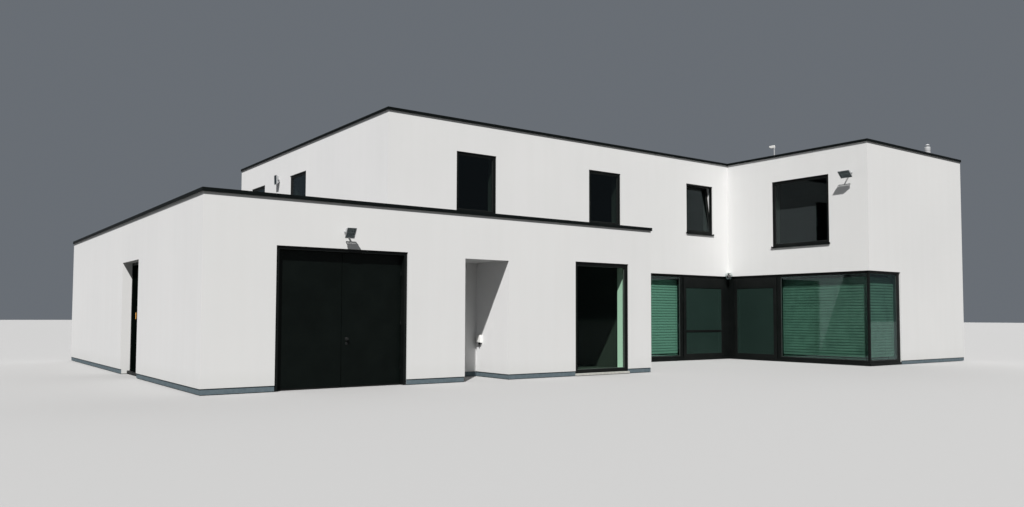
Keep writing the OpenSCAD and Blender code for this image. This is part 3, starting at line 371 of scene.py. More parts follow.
for look, names in PAINTED.items():
    for name in names:
        mesh = nodes[name].data
        mesh.materials.clear()
        mesh.materials.append(MAT[look])


# Shape tools; edges turn sharp from this angle on, in degrees
SHARP = 32


def along(at, turn=0.0):
    """A frame at a point, turned about z: on a wall x runs right as seen from outside, y inwards, z up."""
    return Matrix.Translation(Vector(at)) @ Matrix.Rotation(radians(turn), 4, "Z")


def cut_rect(x0, x1, y0, y1, cut):
    """A rectangle with its corners taken off."""
    return [(x0 + cut, y0), (x1 - cut, y0), (x1, y0 + cut), (x1, y1 - cut),
            (x1 - cut, y1), (x0 + cut, y1), (x0, y1 - cut), (x0, y0 + cut)]


def moved(profile, y):
    return [(a, y + b) for a, b in profile]


def mirrored(profile, depth):
    """The same profile for the other face of a piece of this depth."""
    return [(a, depth - b) for a, b in reversed(profile)]


class Shape:
    """Closed solids gathered in one mesh, drawn in metres from the frame that is set."""

    def __init__(self, frame=None):
        self.bm = bmesh.new()
        self.frame = frame or Matrix()
        self.paint = 0

    def loft(self, loops, ring=False):
        """Joins loops of equal length, end to end or round in a ring."""
        rows = [[self.bm.verts.new(self.frame @ Vector(p)) for p in loop] for loop in loops]
        count = len(rows[0])
        pairs = list(zip(rows, rows[1:])) + ([(rows[-1], rows[0])] if ring else [])
        made = []
        for a, b in pairs:
            for k in range(count):
                j = (k + 1) % count
                made.append(self.bm.faces.new((a[k], a[j], b[j], b[k])))
        if not ring:
            made += [self.bm.faces.new(rows[0][::-1]), self.bm.faces.new(rows[-1])]
        for face in made:
            face.material_index = self.paint

    def bar(self, low, high, edge):
        """A block, its edges taken off by the given width."""
        (x0, y0, z0), (x1, y1, z1) = low, high
        self.loft([[(x, y, z) for x, y in cut_rect(x0 + i, x1 - i, y0 + i, y1 - i, edge)]
                   for z, i in ((z0, edge), (z0 + edge, 0), (z1 - edge, 0), (z1, edge))])

    def across(self, x, blocks):
        """Blocks that reach as far to the left of x as to the right."""
        for half, (y0, y1), (z0, z1), edge in blocks:
            self.bar((x - half, y0, z0), (x + half, y1, z1), edge)

    def bead(self, x0, x1, z0, z1, profile):
        """A mitred ring round a rectangle; the profile holds (inset, y) points."""
        corners = [(x0, z0, 1, 1), (x1, z0, -1, 1), (x1, z1, -1, -1), (x0, z1, 1, -1)]
        self.loft([[(x + i * a, y, z + j * a) for a, y in profile] for x, z, i, j in corners], True)

    def turned(self, profile, steps=32, axis="Z", at=(0, 0, 0)):
        """A body of revolution; the profile's (radius, height) points are joined to the axis at both ends."""
        first, last = profile[0], profile[-1]
        profile = [(0, first[1])] * (first[0] > 1e-9) + profile + [(0, last[1])] * (last[0] > 1e-9)
        spin = {"Z": Matrix(), "Y": Matrix.Rotation(radians(90), 4, "X"),
                "X": Matrix.Rotation(radians(90), 4, "Y")}[axis]
        loops = []
        for k in range(steps):
            a = 2 * pi * k / steps
            loops.append([Vector(at) + spin @ Vector((r * cos(a), r * sin(a), h)) for r, h in profile])
        self.loft(loops, True)

    def done(self, name, looks, slot, body="house", instead=()):
        bmesh.ops.remove_doubles(self.bm, verts=self.bm.verts, dist=1e-7)
        bmesh.ops.recalc_face_normals(self.bm, faces=self.bm.faces)
        for edge in self.bm.edges:
            edge.smooth = len(edge.link_faces) == 2 and edge.calc_face_angle(0) < radians(SHARP)
        for face in self.bm.faces:
            face.smooth = True
        me = bpy.data.meshes.new(name)
        self.bm.to_mesh(me)
        self.bm.free()
        for look in looks.split():
            me.materials.append(MAT[look])
        obj = placed(name, me)
        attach(obj, body)
        if instead:
            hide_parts(*instead)


def islands(node):
    """The corners of each separate solid of a CAD node, in a fixed order."""
    bm = bmesh.new()
    bm.from_mesh(nodes[node].data)
    bmesh.ops.remove_doubles(bm, verts=bm.verts, dist=2e-5)
    seen, groups = set(), []
    for first in bm.verts:
        if first not in seen:
            group = [first]
            seen.add(first)
            for vert in group:
                near = [edge.other_vert(vert) for edge in vert.link_edges]
                group += [v for v in near if v not in seen]
                seen.update(near)
            groups.append([v.co.copy() for v in group])
    bm.free()
    return sorted(groups, key=lambda g: tuple(round(c, 3) for c in min(g, key=tuple)))


def box_of(points):
    """The lowest and the highest corner of a box round the points."""
    return [Vector([pick(p[k] for p in points) for k in range(3)]) for pick in (min, max)]


def centre(points):
    return sum(box_of(points), Vector()) / 2


def wall_frame(low, high):
    """The frame at the outer lower left corner of a flat piece in a wall, and its width, height and depth."""
    wide, deep, rise = (b - a for a, b in zip(low, high))
    if deep < wide:
        return along(low) if low.y < 0 else along((high.x, high.y, low.z), 180), wide, rise, deep
    if low.x < X_RIGHT - 1:
        return along((low.x, high.y, low.z), -90), deep, rise, wide
    return along((high.x, low.y, low.z), 90), deep, rise, wide


# Floor and light: half the floor's side, what of floor and sky is seen and what they throw back
FLOOR_HALF, FLOOR_AT = 220, -0.012
FLOOR_SEEN, FLOOR_LIT = (0.4, 0.4, 0.4), (0.1, 0.1, 0.096)
SKY_SEEN, SKY_LIT = (0.14, 0.155, 0.175), (0.145, 0.155, 0.17)
# Power, width in degrees, colour and direction of the sun and of a weak light from behind
KEY_RISE = radians(49.8)
KEY_RUN = Vector((0.975, 1.105, 0)).normalized() * cos(KEY_RISE) - Vector((0, 0, sin(KEY_RISE)))
LIGHTS = {"key": (5.3, 1.2, (1.0, 0.985, 0.965), KEY_RUN),
          "fill": (1.3, 60, (1, 1, 1), Vector((-0.66, -0.6, -0.45)))}


def make_stage():
    me = bpy.data.meshes.new("floor")
    corners = ((-1, -1), (1, -1), (1, 1), (-1, 1))
    me.from_pydata([(i * FLOOR_HALF, j * FLOOR_HALF, FLOOR_AT) for i, j in corners], [], [(0, 1, 2, 3)])
    floor = placed("floor", me)
    g = Graph("floor_paint", Specular_IOR_Level=0.1, Roughness=0.95)
    g.colour(g.seen_or_lit(FLOOR_SEEN, FLOOR_LIT))
    me.materials.append(g.mat)
    world = bpy.data.worlds.new("studio")
    scene.world = world
    world.use_nodes = True
    sky = Tree(world.node_tree)
    sky.feed(sky.n["Background"].inputs["Color"], sky.seen_or_lit(SKY_SEEN, SKY_LIT))
    for name, (power, angle, colour, toward) in LIGHTS.items():
        sun = bpy.data.lights.new(name, "SUN")
        sun.energy, sun.angle, sun.color = power, radians(angle), colour
        placed(name, sun).rotation_euler = toward.to_track_quat("-Z", "Y").to_euler()


make_stage()


# Windows: frame and sash, pane, from what angle on one is tilted; profiles hold (inset, y) points
FRAME_W, FRAME_D, SASH_GAP, SASH_STEP, SASH_W = 0.034, 0.08, 0.003, 0.006, 0.044
PANE_D, TILTED = 0.028, 0.01
OUTER_SEAL = [(-0.0005, -0.011), (0.003, -0.01), (0.007, -0.001), (0.007, 0.0005), (-0.0005, 0.0005)]
INNER_SEAL = [(-0.0005, -0.0005), (0.009, -0.0005), (0.009, 0.002), (0.003, 0.014), (-0.0005, 0.014)]
SASH_SEAL = [(0, 0.01), (0.0028, 0.009), (0.0032, 0.013), (0, 0.015)]
SPACER = [(0.0006, 0.005), (0.012, 0.005), (0.0135, 0.007),
          (0.0135, PANE_D - 0.007), (0.012, PANE_D - 0.005), (0.0006, PANE_D - 0.005)]

# Blocks of the drain caps and sill clips: half width, y, z, edge
WINDOW_CAP = ((0.016, (-0.0045, 0.0002), (0.008, 0.022), 0.0018), (0.01, (-0.0065, -0.004), (0.0085, 0.0115), 0.0006))
TERRACE_CAP = ((0.018, (-0.022, -0.0178), (-0.052, -0.038), 0.0018),
               (0.012, (-0.024, -0.0215), (-0.0505, -0.047), 0.0006))
SILL_CLIP = ((0.015, (0.01, 0.033), (-0.0015, 0.0004), 0.0005), )


def pane_tilt(points):
    """The angle at which a pane leans inwards, from the middles of its upper and lower edge."""
    mid = sum(p.z for p in points) / len(points)
    (y1, z1), (y0, z0) = [[sum(p[k] for p in half) / len(half) for k in (1, 2)]
                          for half in ([p for p in points if (p.z > mid) == up] for up in (True, False))]
    return atan2(y1 - y0, z1 - z0)


def window_pieces():
    """Seals, spacers between the panes, drain caps, the tilted window's stay, ends and clips of the sills."""
    seals, spacers, caps = Shape(), Shape(), Shape()
    panes = islands("window_panes")
    for frame_points in islands("window_frames"):
        base, width, rise, _ = wall_frame(*box_of(frame_points))
        middle = centre(frame_points)
        points = min(panes, key=lambda p: (centre(p) - middle).length)
        tilt = pane_tilt([base.inverted() @ p for p in points])
        foot = Vector((0, FRAME_D, FRAME_W))
        sash = base @ along(foot) @ Matrix.Rotation(-tilt, 4, "X") @ along(-foot)
        edge = FRAME_W + SASH_GAP + SASH_W
        pane = edge, width - edge, edge - SASH_GAP, rise - edge
        seals.frame = spacers.frame = sash
        mid = SASH_STEP + (FRAME_D - SASH_STEP) / 2
        out, back = mid - PANE_D / 2, mid + PANE_D / 2
        seals.bead(*pane, moved(OUTER_SEAL, out))
        seals.bead(*pane, moved(INNER_SEAL, back))
        spacers.bead(*pane, moved(SPACER, out))
        seals.frame = caps.frame = base
        if tilt < TILTED:
            inset = FRAME_W - 0.0005
            seals.bead(inset, width - inset, inset, rise - inset, SASH_SEAL)
        for share in (0.2, 0.8):
            caps.across(width * share, WINDOW_CAP)
        if tilt > TILTED:
            stay_y, stay_z = FRAME_D - 0.01, rise - FRAME_W - 0.006
            drop = base.inverted() @ sash @ Vector((width - FRAME_W - 0.02, stay_y, stay_z - 0.006))
            x = width - FRAME_W - 0.026
            caps.loft([[(x + i, stay_y + j, stay_z - 0.006), (x + i, stay_y + j, stay_z),
                        (x + i, drop.y + j, drop.z + 0.006), (x + i, drop.y + j, drop.z)]
                       for i, j in ((0, 0), (0.003, 0))])
            caps.turned([(0.006, 0.0), (0.006, 0.006)], 16, "X", (x, drop.y, drop.z + 0.003))
    seals.done("window_seals", "rubber", "frame_metal")
    spacers.done("window_spacers", "spacer", "frame_metal")
    caps.done("window_fixings", "frame", "frame_metal")
    ends = Shape()
    for points in islands("window_sills"):
        ends.frame, width, rise, _ = wall_frame(*box_of(points))
        for x in (0.0004, width - 0.0034):
            ends.bar((x, 0.0006, rise - 0.003), (x + 0.003, 0.0345, rise + 0.014), 0.0009)
        ends.bar((0.001, 0.0004, -0.01), (width - 0.001, 0.0024, 0.002), 0.0007)
        for k in range(1, 4):
            ends.across(width * k / 4, SILL_CLIP)
    ends.done("sill_ends", "coping", "coping_metal")


# Terrace blinds: pitch and height of the slats, their ladder cords, a slat's section, the head boxes
SLAT_PITCH, SLAT_FIRST, CORD_END, CORD_GAPS, CORD_R = 0.08, 0.17, 0.15, 3, 0.0009
SLAT_W, SLAT_T, SLAT_R, SLAT_SLOPE = 0.081, 0.0022, 0.13, 79
HEAD_Z, HEAD_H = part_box("terrace_frames")[1].z, 0.092
# Sides of the terrace, and whether their leaves have the grip on the right; the sliders' grips
SIDES = (("garden", True), ("wing", False))
PULL_X, PULL_W, PULL_Z, PULL_SCREWS = 0.055, 0.016, (0.93, 1.09), (0.942, 1.078)
PULL_RIM = [(0, 0.0002), (0, -0.0014), (0.004, -0.0018), (0.006, -0.0006), (0.006, 0.0002)]


def pane_edges(seals, spacers, low, high, reveal):
    """Seals and spacer round a pane; the seals rise from it to the faces of its frame."""
    seals.frame, width, rise, _ = wall_frame(low, high)
    spacers.frame = seals.frame
    edges = 0, width, 0, rise
    seal = [(-0.0004, -reveal), (0.004, 0.001 - reveal), (0.008, -0.001), (0.008, 0.0005), (-0.0004, 0.0005)]
    seals.bead(*edges, seal)
    seals.bead(*edges, mirrored(seal, PANE_D))
    spacers.bead(*edges, SPACER)
    return width


def terrace_pieces():
    """Seals, spacers and drain caps of the fixed panes; the same and a pull on each sliding leaf."""
    seals, spacers, caps = Shape(), Shape(), Shape()
    for points in islands("terrace_panes"):
        width = pane_edges(seals, spacers, *box_of(points), 0.01)
        caps.frame = seals.frame
        parts = 2 * round(width / 1.1)
        for k in range(1, parts, 2):
            caps.across(width * k / parts, TERRACE_CAP)
    seals.done("terrace_seals", "rubber", "frame_metal")
    spacers.done("terrace_spacers", "spacer", "frame_metal")
    caps.done("terrace_drain_caps", "frame", "frame_metal")
    for side, pull_right in SIDES:
        leaf = f"{side}_slider"
        seals, spacers = Shape(), Shape()
        pane_edges(seals, spacers, *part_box(f"{leaf}_pane"), 0.008)
        seals.done(f"{leaf}_seals", "rubber", "frame_metal", leaf)
        spacers.done(f"{leaf}_spacer", "spacer", "frame_metal", leaf)
        base, width, _, _ = wall_frame(*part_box(leaf))
        pull = Shape(base)
        x = width - PULL_X if pull_right else PULL_X
        pull.bead(x - PULL_W, x + PULL_W, *PULL_Z, PULL_RIM)
        for z in PULL_SCREWS:
            pull.turned([(0.0035, 0.0), (0.003, 0.0016), (0, 0.0019)], 12, "Y", (x, 0, z))
        pull.done(f"{leaf}_pull", "steel", "frame_metal", leaf)


def slat_section():
    """The curved section of a slat, (depth, height) from its middle, tilted down to the outside."""
    half, a = asin(SLAT_W / 2 / SLAT_R), radians(SLAT_SLOPE)
    turns = [half * (k / 6 - 1) for k in range(13)]
    rows = (SLAT_R, turns), (SLAT_R - SLAT_T, turns[::-1])
    points = [(r * sin(t), r * cos(t) - SLAT_R) for r, row in rows for t in row]
    return [(x * cos(a) - y * sin(a), x * sin(a) + y * cos(a)) for x, y in points]


def blinds_pieces():
    """Closed venetian blinds: head boxes, slats, foot bars, ladder cords and end caps."""
    slats, ladders, ends = Shape(), Shape(), Shape()
    slat = slat_section()
    for points in islands("terrace_blinds"):
        low, high = box_of(points)
        base, width, _, depth = wall_frame(low, high)
        slats.frame = ladders.frame = ends.frame = base @ along((0, 0, -low.z))
        mid, top = depth / 2, HEAD_Z - HEAD_H
        z = SLAT_FIRST + SLAT_PITCH
        while z < top - 0.03:
            slats.loft([[(x, mid + y, z + h) for y, h in slat] for x in (0.0005, width - 0.0005)])
            z += SLAT_PITCH
        slats.bar((0, mid - 0.032, HEAD_Z - 0.088), (width, mid + 0.032, HEAD_Z - 0.002), 0.003)
        slats.bar((0.001, mid - 0.0325, HEAD_Z - 0.0895), (width - 0.001, mid - 0.027, HEAD_Z - 0.078), 0.0012)
        slats.bar((0, mid - 0.028, SLAT_FIRST - 0.015), (width, mid + 0.028, SLAT_FIRST - 0.001), 0.003)
        for k in range(CORD_GAPS + 1):
            x = CORD_END + k * (width - 2 * CORD_END) / CORD_GAPS
            for off in (-0.013, 0.013):
                section = [(x + i * CORD_R, mid + off + j * CORD_R) for i, j in ((-1, -1), (1, -1), (1, 1), (-1, 1))]
                ladders.loft([[(*at, z) for at in section] for z in (SLAT_FIRST - 0.002, top + 0.006)])
            ladders.turned([(0.005, SLAT_FIRST - 0.02), (0.007, SLAT_FIRST - 0.014)], 12, "Z", (x, mid, 0))
        for x in (-0.0022, width):
            ends.bar((x, mid - 0.033, HEAD_Z - 0.089), (x + 0.0022, mid + 0.033, HEAD_Z - 0.002), 0.0008)
            ends.bar((x, mid - 0.03, SLAT_FIRST - 0.016), (x + 0.0022, mid + 0.03, SLAT_FIRST), 0.0008)
    slats.done("blind_slats_and_boxes", "blinds", "blind_slats", instead=("terrace_blinds",))
    ladders.done("blind_ladder_cords", "cord", "blind_slats")
    ends.done("blind_end_caps", "frame", "blind_slats")


# Fly screens: widths of the frame's bars, the middle rail from foot to top, the grip, the bead round the mesh
STILE, TOP_RAIL, MID_RAIL, GRIP_Z = 0.11, 0.315, (0.776, 0.832), (0.95, 1.07)
MESH_BEAD = [(0.0002, 0.004), (0.005, 0.005), (0.008, 0.0105), (0.0002, 0.0105)]


def screen_pieces():
    """Sliding fly screens: frames with mitred beads round wire mesh; the garden side's has a middle rail."""
    for side, pull_right in SIDES:
        name = f"{side}_screen"
        base, width, rise, depth = wall_frame(*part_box(name))
        rails = Shape(base)
        for x in (0, width - STILE):
            rails.bar((x, 0, 0), (x + STILE, depth, rise), 0.002)
        split = [MID_RAIL] if side == "garden" else []
        bars = [(0, STILE), *split, (rise - TOP_RAIL, rise)]
        for z0, z1 in bars:
            rails.bar((STILE + 0.0004, 0.0004, z0), (width - STILE - 0.0004, depth - 0.0004, z1), 0.002)
        fields = [(under[1], over[0]) for under, over in zip(bars, bars[1:])]
        for field in fields:
            rails.bead(STILE, width - STILE, *field, MESH_BEAD)
            rails.bead(STILE, width - STILE, *field, mirrored(MESH_BEAD, depth))
        x = width - STILE / 2 if pull_right else STILE / 2
        rails.bar((x - 0.009, -0.009, GRIP_Z[0]), (x + 0.009, 0.0004, GRIP_Z[1]), 0.003)
        mid = depth / 2
        for z in (0.0, rise):
            rails.bar((0.02, mid - 0.004, z - 0.003), (width - 0.02, mid + 0.004, z + 0.003), 0.001)
        rails.done(name + "_frame", "screen", "screen", name, instead=(name,))
        mesh = Shape(base)
        x0, x1 = STILE - 0.006, width - STILE + 0.006
        for z0, z1 in fields:
            mesh.bar((x0, mid - 0.0006, z0 - 0.006), (x1, mid + 0.0006, z1 + 0.006), 0.0002)
        mesh.done(name + "_mesh", "mesh", "screen", name, instead=(name,))


# Copings: folded sheet with a drip edge, a fall to the roof and cover straps at the joints
COPING_STRAP, COPING_LENGTH = 0.1, 3.0
# Plan of a roof's edge, whether it runs round in a ring, its height
MAIN_ROOF = ([(X_MAIN, Y_MAIN), (X_WING, Y_MAIN), (X_WING, Y_WING),
              (X_RIGHT, Y_WING), (X_RIGHT, Y_BACK), (X_MAIN, Y_BACK)], True, Z_MAIN)
LOW_ROOF = ([(X_MAIN, Y_LOW_BACK), (X_LOW, Y_LOW_BACK), (X_LOW, Y_LOW),
             (X_END, Y_LOW), (X_END, Y_MAIN)], False, Z_LOW)
COPING_SHEET = [(0.028, -0.062), (0.0292, -0.0612), (0.0292, -0.0585), (0.0263, -0.054), (0.0263, 0.0085),
                (0.0243, 0.0105), (-0.3812, 0.0072), (-0.3835, 0.0052), (-0.3835, -0.04), (-0.3818, -0.04),
                (-0.3818, 0.0042), (-0.3802, 0.0054), (0.0227, 0.0087), (0.0245, 0.007), (0.0245, -0.053),
                (0.0275, -0.058)]
COPING_COVER = [(0.0261, -0.048), (0.0276, -0.048), (0.0276, 0.0092), (0.0249, 0.0117), (-0.3816, 0.0084),
                (-0.385, 0.0058), (-0.385, -0.033), (-0.3834, -0.033), (-0.3834, 0.005), (-0.381, 0.007),
                (0.0241, 0.0103), (0.0261, 0.0083)]


def outward(a, b):
    """The direction out of the house, square to an edge of its plan."""
    run = (Vector(b) - Vector(a)).normalized()
    return Vector((run.y, -run.x))


def plan_loops(plan, closed, profile, top):
    """The profile, (out, up) points, at each corner of a plan, mitred."""
    faces = [outward(a, b) for a, b in zip(plan, plan[1:] + plan[:1])]
    loops = []
    for k, at in enumerate(plan):
        before = faces[k - 1] if closed or k else faces[k]
        after = faces[k] if closed or k < len(plan) - 1 else before
        mitre = (before + after) / (1 + before.dot(after))
        loops.append([(at[0] + o * mitre.x, at[1] + o * mitre.y, top + z) for o, z in profile])
    return loops


def coping_pieces():
    """Folded sheets along the roofs' edges, and straps over their joints."""
    for name, plan, closed, top in (("main_coping", *MAIN_ROOF), ("low_coping", *LOW_ROOF)):
        sheet = Shape()
        sheet.loft(plan_loops(plan, closed, COPING_SHEET, top), closed)
        for a, b in zip(plan, plan[1:] + plan[:1] * closed):
            a, b = Vector(a), Vector(b)
            out, run = outward(a, b), (b - a).normalized()
            parts = max(1, round((b - a).length / COPING_LENGTH))
            for j in range(1, parts):
                mid = a + (b - a) * j / parts
                sheet.loft([[(*(mid + run * s + out * o), top + z) for o, z in COPING_COVER]
                            for s in (-COPING_STRAP / 2, COPING_STRAP / 2)])
        sheet.done(name + "_sheet", "coping", "coping_metal", instead=(name,))


# Roofs: top of the upstand below the coping and its width, thickness of the garage's covering, laps, outlets
SKIRT_TOP, SKIRT_W, MAT_T, LAP_W, LAP_STEP, DRAIN_X, DRAIN_Y = 0.034, 0.04, 0.06, 0.045, 1.0, 1.4, 1.3
VANE = ((0.028, 0.066, 0.028, 0.058), (0.06, 0.052, 0.054, 0.048), (0.078, 0.002, 0.072, 0.002))


def outlet(shape, x, y, z):
    """A flat flange with a cap on twelve bent vanes."""
    shape.frame = at = along((x, y, z))
    shape.turned([(0.17, -0.002), (0.17, 0.003), (0.12, 0.008), (0.08, 0.004)])
    shape.turned([(0, 0.07), (0.03, 0.068), (0.034, 0.062), (0.03, 0.058)], 24)
    for k in range(12):
        shape.frame = at @ Matrix.Rotation(radians(30 * k), 4, "Z")
        shape.loft([[(r, -0.003, up), (r, 0.003, up), (inner, 0.003, down), (inner, -0.003, down)]
                    for r, up, inner, down in VANE])


def roof_pieces():
    """Upstands of the membrane, its lap seams and the outlets."""
    z_main, z_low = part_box("roof_covering")[1].z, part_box("garage_roof_slab")[1].z + MAT_T
    skirts = Shape()
    for base, plan, closed, top in ((z_main, *MAIN_ROOF), (z_low, *LOW_ROOF)):
        top -= SKIRT_TOP
        foot = base - top
        profile = [(-0.0001, foot), (-SKIRT_W, foot), (-SKIRT_W, foot + 0.003), (-0.004, foot + 0.006),
                   (-0.0014, foot + 0.01), (-0.0014, 0.0), (-0.0001, 0.0)]
        skirts.loft(plan_loops(plan, closed, [(o - WALL, z) for o, z in profile], top), closed)
    skirts.done("roof_upstands", "membrane", "roof_membrane")
    seams, inset = Shape(), WALL + SKIRT_W + 0.002

    def lap(x, y0, y1, z):
        seams.bar((x, y0, z - 0.002), (x + LAP_W, y1, z + 0.003), 0.0015)

    x = X_MAIN + WALL + LAP_STEP
    while x < X_RIGHT - WALL - 0.3:
        lap(x, (Y_WING if x > X_WING + WALL else Y_MAIN) + inset, Y_BACK - inset, z_main)
        x += LAP_STEP
    x = X_LOW + WALL + LAP_STEP
    while x < X_END - WALL - 0.3:
        lap(x, Y_LOW + inset, Y_LOW_BACK - inset if x < X_MAIN - LAP_W else Y_MAIN - 0.01, z_low)
        x += LAP_STEP
    seams.done("roof_lap_seams", "membrane", "roof_membrane")
    drains = Shape()
    for x, y, z in ((X_MAIN + DRAIN_X, Y_BACK, z_main), (X_RIGHT - DRAIN_X, Y_BACK, z_main),
                    (X_LOW + DRAIN_X, Y_LOW_BACK, z_low)):
        outlet(drains, x, y - DRAIN_Y, z)
    drains.done("roof_outlets", "lead", "roof_membrane")


# Vent pipe: its foot, (inset, depth) below the end of the pipe, (radius, height) of the head over it
VENT_FOOT = [(0.175, -0.001), (0.175, 0.004), (0.115, 0.012), (0.096, 0.05), (0.092, 0.12)]
VENT_END = ((0.003, 0.13), (0, 0.126), (0, 0.03), (0.004, 0.014), (0.014, 0.004), (0.028, 0))
VENT_HEAD = ((0.03, 0), (0.025, 0.006), (0.025, 0.036), (0.058, 0.037), (0.06, 0.041), (0.06, 0.058),
             (0.054, 0.068), (0.03, 0.08))
VENT_UP = 0.085
# Wind sensor: distance of its mast from the front, height of the body on the mast, its cut corners
SENSOR_IN, SENSOR_H, SENSOR_CUT = 0.02, 0.09, 0.009


def fitting_pieces():
    (m0, m1), (v0, v1) = sorted((box_of(p) for p in islands("roof_fittings")), key=lambda b: b[0].x)
    top, r = v1.z - v0.z, (v1.x - v0.x) / 2
    pipe = top - VENT_UP
    vent = Shape(along(((v0.x + v1.x) / 2, (v0.y + v1.y) / 2, v0.z)))
    vent.turned(VENT_FOOT, 48)
    vent.turned([(r - 0.003, 0.1), *((r - inset, pipe - down) for inset, down in VENT_END),
                 *((out, pipe + up) for out, up in VENT_HEAD), (0, top - 0.0005)], 48)
    vent.done("vent_pipe", "fitting", "fittings", instead=("roof_fittings",))
    wind = Shape(along(((m0.x + m1.x) / 2, m0.y + SENSOR_IN, m0.z)))
    mast, long = m1.z - m0.z - SENSOR_H, m1.y - m0.y - SENSOR_IN
    wind.bar((-0.055, -0.055, -0.001), (0.055, 0.055, 0.006), 0.002)
    for x in (-0.04, 0.04):
        for y in (-0.04, 0.04):
            wind.turned([(0.007, 0.005), (0.007, 0.01), (0.003, 0.014)], 12, "Z", (x, y, 0))
    wind.turned([(0.026, 0.0), (0.026, 0.03), (0.018, 0.036), (0.018, mast)])
    wind.turned([(0.0235, mast - 0.04), (0.0235, mast + 0.006)])
    wind.paint = 1
    stations = ((-0.0198, 0.012, 0.078, 0.022), (-0.012, 0.002, 0.088, 0.029), (long - 0.1, 0, 0.0895, 0.03),
                (long - 0.045, 0.022, 0.0895, 0.03), (long - 0.012, 0.046, 0.088, 0.027),
                (long - 0.0005, 0.058, 0.08, 0.018))
    wind.loft([[(x, y, z) for x, z in cut_rect(-half, half, mast + low, mast + high, SENSOR_CUT)]
               for y, low, high, half in stations])
    wind.done("wind_sensor", "fitting cover", "fittings", instead=("roof_fittings",))


# Lamps on the walls: width and height of the head, distance from the wall, tilt; depth of the head, its fork
LAMPS = {"garage": (0.19, 0.215, 0.16, 30), "left": (0.2, 0.29, 0.084, 2), "wing": (0.35, 0.25, 0.22, 45)}
LAMP_T, FORK_W, FORK_T, FORK_GAP, FINS = 0.07, 0.026, 0.004, 0.006, 9
LAMP_FOOT = [(0.045, 0), (0.045, 0.02), (0.042, 0.027), (0.034, 0.03)]
# The head's rim from the reflector round to the back, (inset, depth)
LAMP_RIM = ((0.014, 0.009), (0.012, 0.0005), (0.002, 0), (0, 0.002), (0, 0.011), (0.004, 0.013))
GLOBE_NECK = [(0.02, 0.066), (0.022, 0.088), (0.048, 0.092), (0.052, 0.096), (0.052, 0.11), (0.047, 0.1145)]
GLOBE_BULB = [(0.013, 0.072), (0.015, 0.048), (0.046, 0.02), (0.06, -0.012), (0.052, -0.044), (0.03, -0.064),
              (0, -0.07)]
GLOBE_T = 0.004


def rect_loop(w, h, y, cut=0.006):
    return [(x, y, z) for x, z in cut_rect(-w, w, -h, h, cut)]


def floodlight(name, at, w, h, out, tilt):
    """A head with reflector, fins and glass in a fork that stands out from a round foot on the wall."""
    lamp = Shape(at)
    a = radians(tilt)
    reach = (LAMP_T / 2 + FORK_W / 2 * sin(a)) / cos(a) + FORK_GAP
    side = w / 2 + FORK_GAP
    lamp.turned(LAMP_FOOT, 40, "Y")
    for x in (-0.027, 0.027):
        lamp.turned([(0.0055, 0.028), (0.0055, 0.031), (0.003, 0.0335)], 12, "Y", (x, 0, 0))
    lamp.bar((-0.014, reach - out + 0.001, -0.014), (0.014, -0.028, 0.014), 0.004)
    lamp.turned([(0.019, out - reach - 0.03), (0.019, out - reach - 0.006)], 24, "Y")
    lamp.frame = at @ along((0, -out, 0))
    lamp.bar((-side - FORK_T, reach, -FORK_W / 2), (side + FORK_T, reach + FORK_T, FORK_W / 2), 0.0012)
    for s in (-1, 1):
        x0, x1 = sorted((s * side, s * (side + FORK_T)))
        lamp.bar((x0, -0.004, -FORK_W / 2), (x1, reach + 0.001, FORK_W / 2), 0.0012)
        lamp.turned([(0.0145, x0), (0.0145, x1)], 24, "X")
        lamp.turned([(0.0115, s * (side + FORK_T - 0.0005)), (0.0095, s * (side + FORK_T + 0.008))], 10, "X")
    lamp.turned([(0.005, -side), (0.005, side)], 12, "X")
    lamp.frame = head = lamp.frame @ Matrix.Rotation(a, 4, "X")
    front, back = -LAMP_T / 2, LAMP_T / 2 - 0.016
    w2, h2 = w / 2, h / 2
    lamp.paint = 1
    lamp.loft([rect_loop(w2 * 0.55, h2 * 0.42, back - 0.006),
               *(rect_loop(w2 - inset, h2 - inset, front + deep) for inset, deep in LAMP_RIM),
               rect_loop(w2 - 0.008, h2 - 0.04, back)])
    for face in lamp.bm.faces:
        if face.material_index == 1:
            mid = head.inverted() @ face.calc_center_median()
            if max(abs(mid.x) - w2, abs(mid.z) - h2) >= -0.0125 or not front + 0.0008 < mid.y < back - 0.003:
                face.material_index = 0
    lamp.paint = 0
    for k in range(FINS):
        x = (k + 0.5) * w / FINS - w2
        lamp.loft([[(x + i, back - 0.001, -h2 + 0.041), (x + i, LAMP_T / 2, -h2 + 0.05),
                    (x + i, LAMP_T / 2, h2 - 0.05), (x + i, back - 0.001, h2 - 0.041)] for i in (-0.0025, 0.0025)])
    lamp.paint = 2
    for s in (-1, 1):
        x0, x1 = sorted((s * w2 * 0.6, s * w2 * 0.72))
        lamp.bar((x0, -0.006, -0.01), (x1, 0.012, 0.01), 0.002)
    lamp.turned([(0.0055, -w2 * 0.61), (0.0055, w2 * 0.61)], 12, "X")
    lamp.done(name, "lamp mirror cover", "lamp_body", instead=("wall_lamps",))
    pane = Shape(head)
    pane.loft([rect_loop(w2 - 0.0145, h2 - 0.0145, y, 0.004) for y in (front + 0.004, front + 0.0075)])
    pane.done(name + "_glass", "lamp_glass", "lamp_body", instead=("wall_lamps",))


